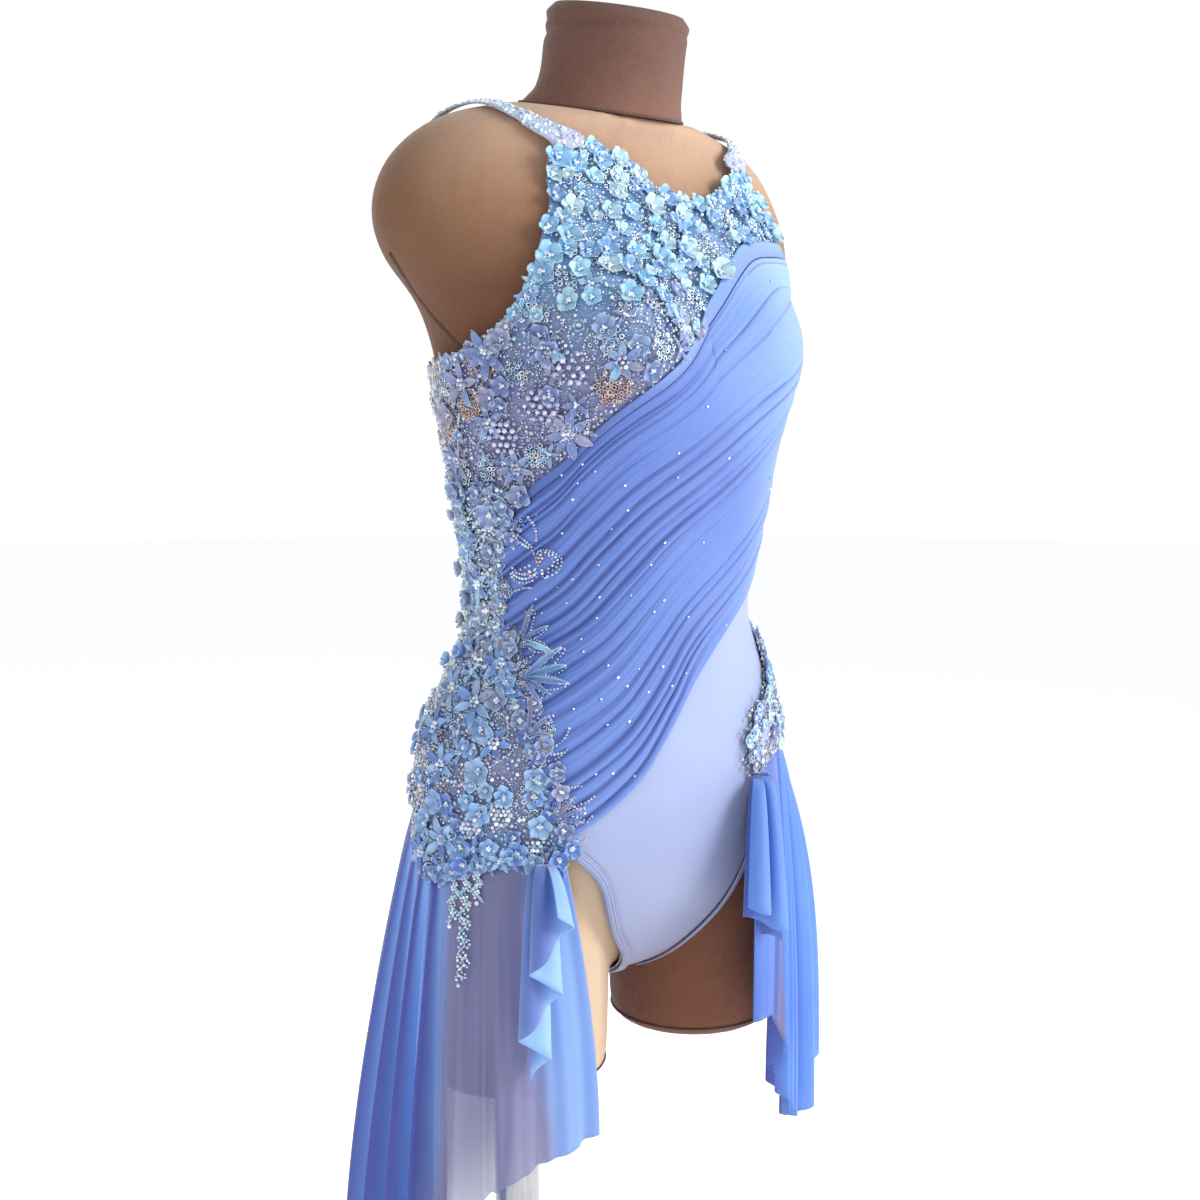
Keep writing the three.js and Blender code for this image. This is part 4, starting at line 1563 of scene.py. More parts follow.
    def scallops(self, line: Array, spacing: float, radius: float, inset: Array) -> None:
        """Small flat flowers along an edge.

        Args:
            line: Points of the edge, across and up.
            spacing: Distance between flowers.
            radius: Their size.
            inset: Step from the edge to their middles.
        """
        steps = np.concatenate([[0], np.cumsum(np.linalg.norm(np.diff(line, axis=0), axis=1))])
        for at in np.arange(spacing / 2, steps[-1], spacing):
            point = np.array([np.interp(at, steps, line[:, k]) for k in range(2)]) + inset
            size = radius * self.rng.uniform(0.8, 1.15)
            self.blossom(
                point, radius=size, petals=5, trim=Trim.PETAL, lift=0.7, tilt=0.12, hearts=4
            )

    def build(self, stem: str, finishes: Finishes) -> None:
        """Makes the joined pieces.

        Args:
            stem: Start of their names.
            finishes: The materials.
        """
        dress = {
            Trim.BEAD: ("beads", finishes.bead, "beading", 0.0),
            Trim.RING: ("sequin_rings", finishes.sequin, "beading", 0.0),
            Trim.STONE: ("stones", finishes.sequin, "beading", 0.0),
            Trim.TUBE: ("bugles", finishes.bead, "beading", 0.0),
            Trim.PETAL: ("petals", finishes.organza, "lace", 0.35),
            Trim.LEAF: ("leaves", finishes.organza, "lace", 0.35),
        }
        for trim, (word, material, slot, wall) in dress.items():
            if self.sewn[trim].parts:
                piece = self.sewn[trim].build(f"{stem}_{word}")
                finish_piece(piece, material, wall=wall, offset=0.0)


# Sub-assemblies

@dataclass
class DressForm:
    """The padded form, its neck cap, their seams and the stand."""

    finishes: Finishes
    columns: int = 132
    torso_rows: int = 190
    seat_rows: int = 44
    voxel: float = 5.0
    seam_width: float = 3.0

    def build(self) -> None:
        """Builds the form, its seams and the stand's finish."""
        self.body()
        self.neck()
        self.seams()
        for node in ("stand_pole", "stand_base"):
            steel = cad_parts[node]
            steel.data.materials.clear()
            steel.data.materials.append(self.finishes.steel)

    def _shell(self, name: str, columns: int, rows: int, place: Place) -> bpy.types.Object:
        """A closed lofted shell.

        Args:
            name: Name.
            columns: Faces round.
            rows: Faces down.
            place: Points from shares.

        Returns:
            The object.
        """
        shell = mapped_grid(name, columns, rows, place)
        mesh = bmesh.new()
        mesh.from_mesh(shell.data)
        bmesh.ops.remove_doubles(mesh, verts=mesh.verts, dist=2e-5)
        bmesh.ops.holes_fill(mesh, edges=[e for e in mesh.edges if e.is_boundary], sides=0)
        bmesh.ops.recalc_face_normals(mesh, faces=mesh.faces)
        mesh.to_mesh(shell.data)
        mesh.free()
        return shell

    def body(self) -> None:
        """Torso, seat and thigh stubs as one smooth padded form."""
        rows = self.torso_rows + self.seat_rows
        turn = self.torso_rows / rows

        def torso(u: Array, v: Array) -> Array:
            """Points of torso and seat.

            Args:
                u: Shares round.
                v: Shares down.

            Returns:
                Points in mm.
            """
            level = np.where(
                v < turn, blend(NECK_BASE, HIP_LEVEL, v / turn),
                blend(HIP_LEVEL, CROTCH_LEVEL, (v - turn) / (1 - turn)),
            )
            points = FIGURE.body(u * 360.0, level) * np.array([FORM_EASE, FORM_EASE, 1.0])
            low = points[..., 2] < HIP_LEVEL
            eased = blend(HIP_LEVEL, points[..., 2], FORM_EASE)
            points[..., 2] = np.where(low, eased, points[..., 2])
            return points

        thigh = np.array(THIGH_ROWS, float)
        path = Line(thigh)

        def stub(hand: int) -> Place:
            """Surface of one thigh stub.

            Args:
                hand: -1 at the right, 1 at the left.

            Returns:
                Its points, from shares round and down.
            """
            def place(u: Array, v: Array) -> Array:
                """Points of the stub.

                Args:
                    u: Shares round.
                    v: Shares down.

                Returns:
                    Points in mm.
                """
                z, centre, wide, deep = path.at(v).T
                return np.stack([
                    hand * centre + wide * np.cos(2 * np.pi * u), deep * np.sin(2 * np.pi * u), z,
                ], axis=-1)
            return place

        shells = [self._shell("form_body_cover", self.columns, rows, torso)]
        shells += [
            self._shell(f"thigh_{hand}", columns=64, rows=60, place=stub(hand)) for hand in (-1, 1)
        ]
        joined = bmesh.new()
        for shell in shells:
            joined.from_mesh(shell.data)
        joined.to_mesh(shells[0].data)
        joined.free()
        for shell in shells[1:]:
            bpy.data.objects.remove(shell)
        form = shells[0]
        remesh = form.modifiers.new("padding", "REMESH")
        remesh.mode = "VOXEL"
        remesh.voxel_size = self.voxel * MM
        smooth = form.modifiers.new("fair", "SMOOTH")
        smooth.iterations = 10
        smooth.factor = 0.5
        graph = bpy.context.evaluated_depsgraph_get()
        made = bpy.data.meshes.new_from_object(form.evaluated_get(graph))
        form.modifiers.clear()
        form.data = made
        finish_piece(form, self.finishes.form, ("form_body",))

    def neck(self) -> None:
        """Cloth neck cap with a crease at its side and a rolled top."""
        path = Line([(z, radius, centre) for z, radius, centre in NECK_ROWS])

        def place(u: Array, v: Array) -> Array:
            """Points of the cap.

            Args:
                u: Shares round.
                v: Shares up.

            Returns:
                Points in mm.
            """
            turn = 2 * np.pi * u
            side = np.clip(v / 0.82, 0, 1)
            z, radius, centre = path.at(side).T
            crown = np.clip((v - 0.82) / 0.18, 0, 1)
            radius = radius * np.cos(crown * np.pi / 2)
            z = z + 3.0 * np.sin(crown * np.pi / 2)
            crease = np.exp(-(((z - 1474 + 9 * np.sin(turn + 0.6)) / 3.2) ** 2))
            radius = radius - 1.7 * crease * ease(-np.cos(turn), 0.1, 0.9)
            rim = np.exp(-(((z - 1489) / 2.6) ** 2)) - 0.7 * np.exp(-(((z - 1483) / 2.0) ** 2))
            radius = radius + 0.9 * rim * (crown == 0)
            radius = radius + 0.35 * np.sin(5 * turn) * np.sin(z * 0.12) * (crown == 0)
            y = centre + radius * np.sin(turn)
            return np.stack([radius * np.cos(turn), y, z + NECK_TIP * y / FORM_EASE], axis=-1)

        neck = self._shell("form_neck_cover", columns=96, rows=70, place=place)
        finish_piece(neck, self.finishes.neck, ("form_neck",))

    def seams(self) -> None:
        """Stitched seams in the creases at the arm caps and round the neck; their dark cord is
        partly a real seam and partly painted shade of the creases.
        """
        line = edge(ARM_CREASE)
        for hand, side in ((1, "right"), (-1, "left")):

            def along(u: Array, v: Array, hand: int = hand) -> Array:
                """Points of the crease in front of one arm cap.

                Args:
                    u: Shares along.
                    v: Shares across.
                    hand: 1 at the right, -1 at the left.

                Returns:
                    Points in mm.
                """
                taper = np.sin(np.pi * np.clip(u, 0.02, 0.98)) ** 0.5
                heading = line.heading(u)
                aside = np.stack([-heading[:, 1], heading[:, 0]], axis=1)
                points = line.at(u) + aside * ((v - 0.5) * self.seam_width * 2 * taper)[:, None]
                lift = 0.5 - 1.6 * (2 * np.abs(v - 0.5)) ** 2
                where = FIGURE.lifted(FIGURE.body, hand * points[:, 0] / ARC, points[:, 1], lift)
                return where * np.array([FORM_EASE, FORM_EASE, 1.0])

            seam = mapped_grid(
                f"form_arm_seam_{side}", columns=60, rows=4, place=along, flip=hand > 0
            )
            finish_piece(seam, self.finishes.seam, wall=0.6)

        def round_neck(u: Array, v: Array) -> Array:
            """Points of the cord in the seam under the neck cap.

            Args:
                u: Shares round.
                v: Shares of the girth.

            Returns:
                Points in mm.
            """
            z, radius, centre = NECK_ROWS[0]
            turn, girth = 2 * np.pi * u, 2 * np.pi * v
            reach = radius + 0.5 + 1.0 * np.cos(girth)
            y = centre + reach * np.sin(turn)
            high = z + 0.5 + 1.0 * np.sin(girth) + NECK_TIP * y / FORM_EASE
            return np.stack([reach * np.cos(turn), y, high], axis=-1)

        cord = self._shell("form_neck_seam", columns=96, rows=6, place=round_neck)
        finish_piece(cord, self.finishes.seam)
        for hand, side in ((-1, "right"), (1, "left")):

            def round_stub(u: Array, v: Array, hand: int = hand) -> Array:
                """Points of the cord in the seam round the end of a thigh stub.

                Args:
                    u: Shares round.
                    v: Shares of the girth.
                    hand: -1 at the right, 1 at the left.

                Returns:
                    Points in mm.
                """
                _, centre, wide, deep = THIGH_ROWS[-3]
                turn, girth = 2 * np.pi * u, 2 * np.pi * v
                reach = 0.8 * np.cos(girth) - 0.9
                return np.stack([
                    hand * centre + (wide + reach) * np.cos(turn), (deep + reach) * np.sin(turn),
                    746.5 + 0.8 * np.sin(girth),
                ], axis=-1)

            cord = self._shell(f"form_thigh_seam_{side}", columns=96, rows=6, place=round_stub)
            finish_piece(cord, self.finishes.seam)


@dataclass
class Leotard:
    """Front, brief and back panels, straps and leg bindings."""

    finishes: Finishes
    front_half: float = 90 - SEAM_ANGLE
    neck_line: Line = field(default_factory=lambda: edge(NECK_AND_ARMHOLES))
    front_leg: Line = field(default_factory=lambda: edge(FRONT_LEG))
    back_leg: Line = field(default_factory=lambda: edge(BACK_LEG))
    back_top: Line = field(default_factory=lambda: edge(BACK_TOP))

    def build(self) -> None:
        """Builds the panels in order."""
        self.bodice()
        self.brief()
        self.back()
        for hand, side in ((1, "right"), (-1, "left")):
            self.strap(hand, side)
            self.binding(-hand, side)

    def bodice(self) -> None:
        """Upper front panel, the ground of the lace flowers."""
        def where(u: Array, v: Array) -> tuple[Array, Array]:
            """Angle and level across and up.

            Args:
                u: Shares across.
                v: Shares up.

            Returns:
                Angles and levels.
            """
            high = on_edge(self.neck_line, u)
            low = blend(-self.front_half, self.front_half, u)
            return blend(low, high[:, 0], v), blend(WAIST_SEAM + SEAM_GAP, high[:, 1], v)

        def place(u: Array, v: Array) -> Array:
            """Points of the panel."""
            angle, level = where(u, v)
            return FIGURE.lifted(FIGURE.body, angle, level, LEOTARD_LIFT + LYCRA_WALL)

        def plain(u: Array, v: Array) -> Array:
            """Share of plain cloth, under the sash at the left side."""
            angle, level = where(u, v)
            return ease(angle, 20, 40) * (1 - ease(level, 1180, 1220))

        marks = {"high": lambda u, v: ease(where(u, v)[1], 1200, 1340), "plain": plain}
        panel = mapped_grid("bodice_net", columns=96, rows=64, place=place, marks=marks)
        finish_piece(panel, self.finishes.net, ("bodice_front",), wall=1.2)

    def _lower(self, leg: Line, w: Array) -> tuple[Array, Array]:
        """Lower edge of a leotard half: leg line, crotch and leg line.

        Args:
            leg: Leg line.
            w: Places across, from -1 to 1.

        Returns:
            Angles and levels.
        """
        far = np.abs(w)
        on_leg = on_edge(leg, np.clip((1 - far) / (1 - CROTCH_SHARE), 0, 1))
        end = on_edge(leg, 1.0)
        side = far > CROTCH_SHARE
        angle = np.where(side, on_leg[:, 0], end[0] * far / CROTCH_SHARE)
        return np.sign(w) * angle, np.where(side, on_leg[:, 1], CROTCH_EDGE)

    def brief(self) -> None:
        """Lower front panel in satin."""
        def place(u: Array, v: Array) -> Array:
            """Points of the panel.

            Args:
                u: Shares across.
                v: Shares down.

            Returns:
                Points in mm.
            """
            w = 2 * u - 1
            down = 1 - (1 - v) ** ROW_BIAS
            foot, level = self._lower(self.front_leg, w)
            return FIGURE.lifted(
                FIGURE.body, blend(w * self.front_half, foot, down),
                blend(WAIST_SEAM, level, down), LEOTARD_LIFT + LYCRA_WALL,
            )

        panel = mapped_grid("brief_satin", columns=72, rows=54, place=place, flip=True)
        finish_piece(panel, self.finishes.lycra, ("brief_front",), wall=1.2)

    def back(self) -> None:
        """Plain back panel."""
        def place(u: Array, v: Array) -> Array:
            """Points of the panel.

            Args:
                u: Shares across.
                v: Shares down.

            Returns:
                Points in mm.
            """
            w = 2 * u - 1
            down = 1 - (1 - v) ** ROW_BIAS
            high = on_edge(self.back_top, 1 - np.abs(w))
            top = np.where(w < 0, high[:, 0], 360 - high[:, 0])
            foot, level = self._lower(self.back_leg, w)
            return FIGURE.lifted(
                FIGURE.body, blend(top, 180 + foot, down), blend(high[:, 1], level, down),
                LEOTARD_LIFT + LYCRA_WALL,
            )

        panel = mapped_grid("back_satin", columns=72, rows=64, place=place, flip=True)
        finish_piece(panel, self.finishes.lycra, ("back_panel",), wall=1.2)

    def strap(self, hand: int, side: str) -> None:
        """Shoulder strap, covered with beads.

        Args:
            hand: 1 at the right, -1 at the left.
            side: Side's name.
        """
        inner, outer = edge(STRAP_INNER), edge(STRAP_OUTER)

        def lift(u: Array) -> Array:
            """Height over the form, more where it lies on the panels."""
            rest = ease(u, 0.03, 0.12) * (1 - ease(u, 0.9, 0.96))
            return blend(LEOTARD_LIFT + LYCRA_WALL + STRAP_LIFT, STRAP_LIFT, rest) + LYCRA_WALL

        def where(u: Array, v: Array) -> tuple[Array, Array]:
            """Angle and level along and across; the left front end meets its own peak.

            Args:
                u: Shares along.
                v: Shares across.

            Returns:
                Angles and levels.
            """
            points = blend(on_edge(inner, u), on_edge(outer, u), v[..., None])
            moved = -6.5 * (1 - ease(u, 0.04, 0.2)) * (hand < 0)
            return hand * (points[:, 0] + moved), points[:, 1]

        def place(u: Array, v: Array) -> Array:
            """Points of the ribbon."""
            return FIGURE.lifted(FIGURE.body, *where(u, v), lift(u))

        ribbon = mapped_grid(
            f"strap_{side}_ribbon", columns=120, rows=4, place=place,
            marks={"high": lambda u, v: 1.0 + 0 * u}, flip=hand > 0,
        )
        finish_piece(ribbon, self.finishes.pale_net, (f"strap_{side}",), wall=1.2)
        rng = np.random.default_rng(40 + hand)
        palette = Palette()
        count = 720
        u, v = rng.uniform(0, 1, count) ** 1.2, rng.uniform(0.04, 0.96, count)
        angle, level = where(u, v)
        normal = FIGURE.outward(FIGURE.body, angle, level)
        spot = FIGURE.body(angle, level) + normal * lift(u)[:, None]
        turn = rng.uniform(0, 6.28, count)[:, None]
        round_it = unit(np.cross([0.0, 0.0, 1.0], normal))
        heading = np.cos(turn) * round_it + np.sin(turn) * np.cross(normal, round_it)
        colour = palette.pick(palette.beads_high, palette.beads_low, np.full(count, 0.75), rng)
        for trim, part, word, material in (
            (Trim.BEAD, slice(0, 430), "beads", self.finishes.bead),
            (Trim.RING, slice(430, count), "sequins", self.finishes.sequin),
        ):
            sewn = Sewn(trim)
            size = rng.uniform(1.9, 3.4, count)[part]
            sewn.add(spot[part], normal[part], heading[part], size, colour[part])
            finish_piece(sewn.build(f"strap_{side}_{word}"), material)

    def binding(self, hand: int, side: str) -> None:
        """Elastic binding on the front leg edge.

        Args:
            hand: -1 at the right, 1 at the left.
            side: Side's name.
        """
        def at(u: Array) -> tuple[Array, Array]:
            """Angle and level along the leg line."""
            points = on_edge(self.front_leg, blend(0.46, 0.93, u))
            return hand * points[:, 0], points[:, 1]

        def place(u: Array, v: Array) -> Array:
            """Points of the strip.

            Args:
                u: Shares along.
                v: Shares across.

            Returns:
                Points in mm.
            """
            angle, level = at(u)
            normal = FIGURE.outward(FIGURE.body, angle, level)
            ahead = FIGURE.body(*at(np.minimum(u + 0.01, 1)))
            behind = FIGURE.body(*at(np.maximum(u - 0.01, 0)))
            inwards = -hand * np.cross(normal, unit(ahead - behind))
            groove = 0.35 * np.cos(2 * np.pi * 3 * v)
            return (
                FIGURE.body(angle, level) + inwards * (BINDING_INSET + v * BINDING_WIDTH)[:, None]
                + normal * (BINDING_LIFT + 1.0 + groove)[:, None]
            )

        strip = mapped_grid(
            f"leg_binding_{side}_strip", columns=120, rows=12, place=place, flip=hand < 0
        )
        finish_piece(strip, self.finishes.lycra, (f"leg_binding_{side}",), wall=1.0)


@dataclass
class Sash:
    """Gathered sash and its stitched band."""

    finishes: Finishes
    patch: Patch = field(
        default_factory=lambda: Patch(SASH_TOP, SASH_BOTTOM, SASH_LEFT, SASH_RIGHT)
    )
    folds: Folds = field(default_factory=lambda: Folds(count=25, seed=11, wander=0.36, late=0.42))
    fine: Folds = field(default_factory=lambda: Folds(count=61, seed=12, wander=0.6, late=0.4))
    deepest: float = 5.0

    def build(self) -> None:
        """Builds the drape and the band."""
        self.drape()
        self.band()

    def height(self, s: Array, t: Array) -> Array:
        """Height of the folds over the sash's own ground.

        Args:
            s: Shares across.
            t: Shares down.

        Returns:
            Heights in mm.
        """
        depth = blend(0.9, self.deepest, ease(s, 0.0, 1.0))
        under_band = ease(t, SASH_BAND, SASH_BAND + 0.03)
        return depth * under_band * (0.84 * self.folds.at(s, t) + 0.16 * self.fine.at(s, t))

    def drape(self) -> None:
        """The gathered cloth."""
        def down(v: Array) -> Array:
            """Share of the whole sash, below its band."""
            return blend(SASH_BAND + 0.0015, 1.0, v)

        def place(u: Array, v: Array) -> Array:
            """Points of the gathered cloth.

            Args:
                u: Shares across.
                v: Shares down.

            Returns:
                Points in mm.
            """
            t = down(v)
            angle, level = self.patch.at(u, t)
            lift = SASH_LIFT + MESH_WALL + self.height(u, t)
            return FIGURE.lifted(FIGURE.body, angle, level, lift)

        # Painted shade in the valleys between the gathers, and painted light towards the wearer's
        # left.
        marks = {
            "fold": lambda u, v: (
                0.72 * self.folds.shade(u, down(v)) + 0.28 * self.fine.shade(u, down(v))
            ),
            "glow": lambda u, v: 1 - ease(u, 0.02, 0.5) * (0.88 + 0.12 * (1 - v)),
        }
        cloth = mapped_grid("sash_gathers", columns=120, rows=290, place=place, marks=marks)
        finish_piece(cloth, self.finishes.sash, ("sash_drape",), wall=0.9)

    def band(self) -> None:
        """The turned band along the upper edge."""
        def place(u: Array, v: Array) -> Array:
            """Points of the band.

            Args:
                u: Shares across.
                v: Shares down.

            Returns:
                Points in mm.
            """
            t = v * (SASH_BAND - 0.0015)
            angle, level = self.patch.at(u, t)
            roll = 0.7 * np.sin(np.pi * v) + 0.25 * np.sin(9 * u) * v
            return FIGURE.lifted(FIGURE.body, angle, level, SASH_LIFT + MESH_WALL + roll)

        # Painted shade darkening down the band, and painted light towards the wearer's left.
        marks = {"fold": lambda u, v: 0.75 - 0.3 * v, "glow": lambda u, v: 1 - ease(u, 0.2, 0.85)}
        strip = mapped_grid("sash_band_strip", columns=170, rows=10, place=place, marks=marks)
        finish_piece(strip, self.finishes.sash, ("sash_band",), wall=1.0)


@dataclass
class HalfSkirt:
    """One half skirt, with its folds growing to the hem."""

    finishes: Finishes
    name: str
    node: str
    top: tuple
    hem: tuple
    flare: float
    folds: int
    top_depth: float
    hem_depth: float
    calm: float
    clear_to: float
    area: float
    flat: tuple[float, float]
    glow: float
    seed: int

    def surface(self, s: Array, t: Array) -> Array:
        """Points of the skirt across (s) and down (t).

        Args:
            s: Shares across.
            t: Shares down.

        Returns:
            Points in mm.
        """
        rng = np.random.default_rng(self.seed)
        top, hem = edge(self.top), Line(self.hem, relaxed=True)
        place = on_edge(top, s)
        start = FIGURE.lifted(FIGURE.hang, place[:, 0], place[:, 1], LACE_LIFT + MESH_WALL / 2)
        end = hem.at(s)
        spread = 1 - (1 - t) ** self.flare
        calm = ease(s, self.calm / 2, self.calm * 1.5)
        depth = blend(self.top_depth, self.hem_depth, spread * np.sqrt(t)) * blend(0.25, 1.0, calm)
        phase = 2 * np.pi * self.folds * (s + 0.02 * np.sin(14 * s))
        heading = hem.heading(s)
        sideways = unit(np.stack([heading[:, 1], -heading[:, 0], 0 * s], axis=1))
        wave = np.sin(phase)
        for _ in range(4):
            rate = rng.uniform(2.1, 4.6) * self.folds
            drift = rng.uniform(-1.2, 1.2)
            wave = wave + 0.16 * np.sin(rate * 2 * np.pi * s + drift * t + rng.uniform(0, 6.28))
        base = np.stack([
            blend(start[:, 0], end[:, 0], spread), blend(start[:, 1], end[:, 1], spread),
            blend(start[:, 2], end[:, 2], t),
        ], axis=1)
        return base + sideways * (depth * wave * ease(t, 0.0, 0.12))[:, None]

    def fold(self, s: Array, t: Array) -> Array:
        """Painted shade of the folds: how high each place stands on them, from 0 to 1.

        Args:
            s: Shares across.
            t: Shares down.

        Returns:
            Numbers from 0 to 1.
        """
        phase = 2 * np.pi * self.folds * (s + 0.02 * np.sin(14 * s))
        swing = np.sin(phase) * ease(s, self.calm / 2, self.calm * 1.5)
        return 0.5 + 0.5 * np.sign(swing) * np.abs(swing) ** 0.7

    def build(self) -> None:
        """Builds the cloth."""
        # Painted shade in the valleys, and painted light, stronger at the front edge and towards
        # the hem.
        marks = {
            "fold": self.fold,
            "glow": lambda s, t: self.glow * (
                0.3 + 0.5 * (1 - ease(s, 0.1, self.clear_to)) + 0.35 * t * t
            ),
            "cover": lambda s, t: blend(
                0.77 - 0.25 * ease(t, 0.68, 1.0), 0.95,
                np.maximum(
                    ease(s, self.clear_to * 0.8, self.clear_to * 1.25), 1 - ease(s, 0.06, 0.13)
                ),
            ),
        }
        cloth = mapped_grid(self.name, columns=300, rows=32, place=self.surface, marks=marks)
        finish_piece(cloth, self.finishes.veil, (self.node,), wall=0.5, offset=0.0)


@dataclass
class Cascade:
    """A folded strip that winds to and fro in plan, its hem stepping down."""

    finishes: Finishes
    name: str
    node: str
    top: tuple[float, float, float]
    foot: tuple[float, float]
    strand: float
    waves: float
    turn: float
    axis: float
    hem: tuple[float, float]
    area: float
    flat: tuple[float, float]
    glow: float
    steps: int = 240
    neck: float = 0.4

    def plan(self) -> Array:
        """The meander's points.

        Returns:
            Points in mm, seen from above.
        """
        i = np.arange(self.steps)
        heading = self.turn * np.cos(2 * np.pi * self.waves * (i + 0.5) / self.steps)
        bearing = heading + math.radians(self.axis)
        step = 2 * self.strand * self.waves / self.steps
        moves = np.stack([np.sin(bearing), np.cos(bearing)], axis=1) * step
        return np.vstack([[0, 0], np.cumsum(moves, axis=0)])

    def surface(self, s: Array, t: Array) -> Array:
        """Points of the strip along (s) and down (t).

        Args:
            s: Shares along.
            t: Shares down.

        Returns:
            Points in mm.
        """
        plan = self.plan()
        at = np.linspace(0, 1, len(plan))
        x, y = np.interp(s, at, plan[:, 0]), np.interp(s, at, plan[:, 1])
        out = np.sqrt(t)
        grow = blend(self.neck, 1.0, out)
        return np.stack([
            blend(self.top[0], self.foot[0], out) + grow * x,
            blend(self.top[1], self.foot[1], out) + grow * y,
            blend(self.top[2], blend(self.hem[0], self.hem[1], s), t),
        ], axis=1)

    def build(self) -> None:
        """Builds the cloth."""
        # Painted shade along the zigzag, and painted light, paler at the top and towards the hem.
        marks = {
            "fold": lambda s, t: 0.62 + 0.38 * np.sin(2 * np.pi * self.waves * s + 0.8),
            "glow": lambda s, t: self.glow * (
                1 - 0.45 * ease(t, 0.0, 0.35) + 0.3 * ease(t, 0.6, 1.0)
            ),
            "cover": lambda s, t: 0.935 + 0.03 * t,
        }
        cloth = mapped_grid(self.name, columns=160, rows=16, place=self.surface, marks=marks)
        finish_piece(cloth, self.finishes.veil, (self.node,), wall=0.5, offset=0.0)


# Where the lace begins and ends: degrees from the middle of the front, wearer's left positive
LACE_LEFT_END = 40.5
LACE_BACK_END = -116.0
UPPER_NET_FROM = -90.2
BODICE_FLOWERS_FROM = -97.0
BODICE_TUBES_TO = -88.0
SIDE_FLOWERS_FROM = -100.0
SIDE_TUBES_TO = -96.0
NECKLINE_FROM = -23.0
NECKLINE_TO = 31.0
ARMHOLE_TO = -38.0

# The right half skirt read by angle and level: its front edge and span, its top and drop
SKIRT_FRONT = -40.5
SKIRT_SPAN = 125.0
SKIRT_TOP = 912.0
SKIRT_DROP = 225.0

# Shares of the small trims between the flowers
SMALL_TRIMS = {Trim.BEAD: 0.5, Trim.RING: 0.25, Trim.STONE: 0.25}
HIP_SMALL_TRIMS = {Trim.BEAD: 0.4, Trim.RING: 0.4, Trim.STONE: 0.2}


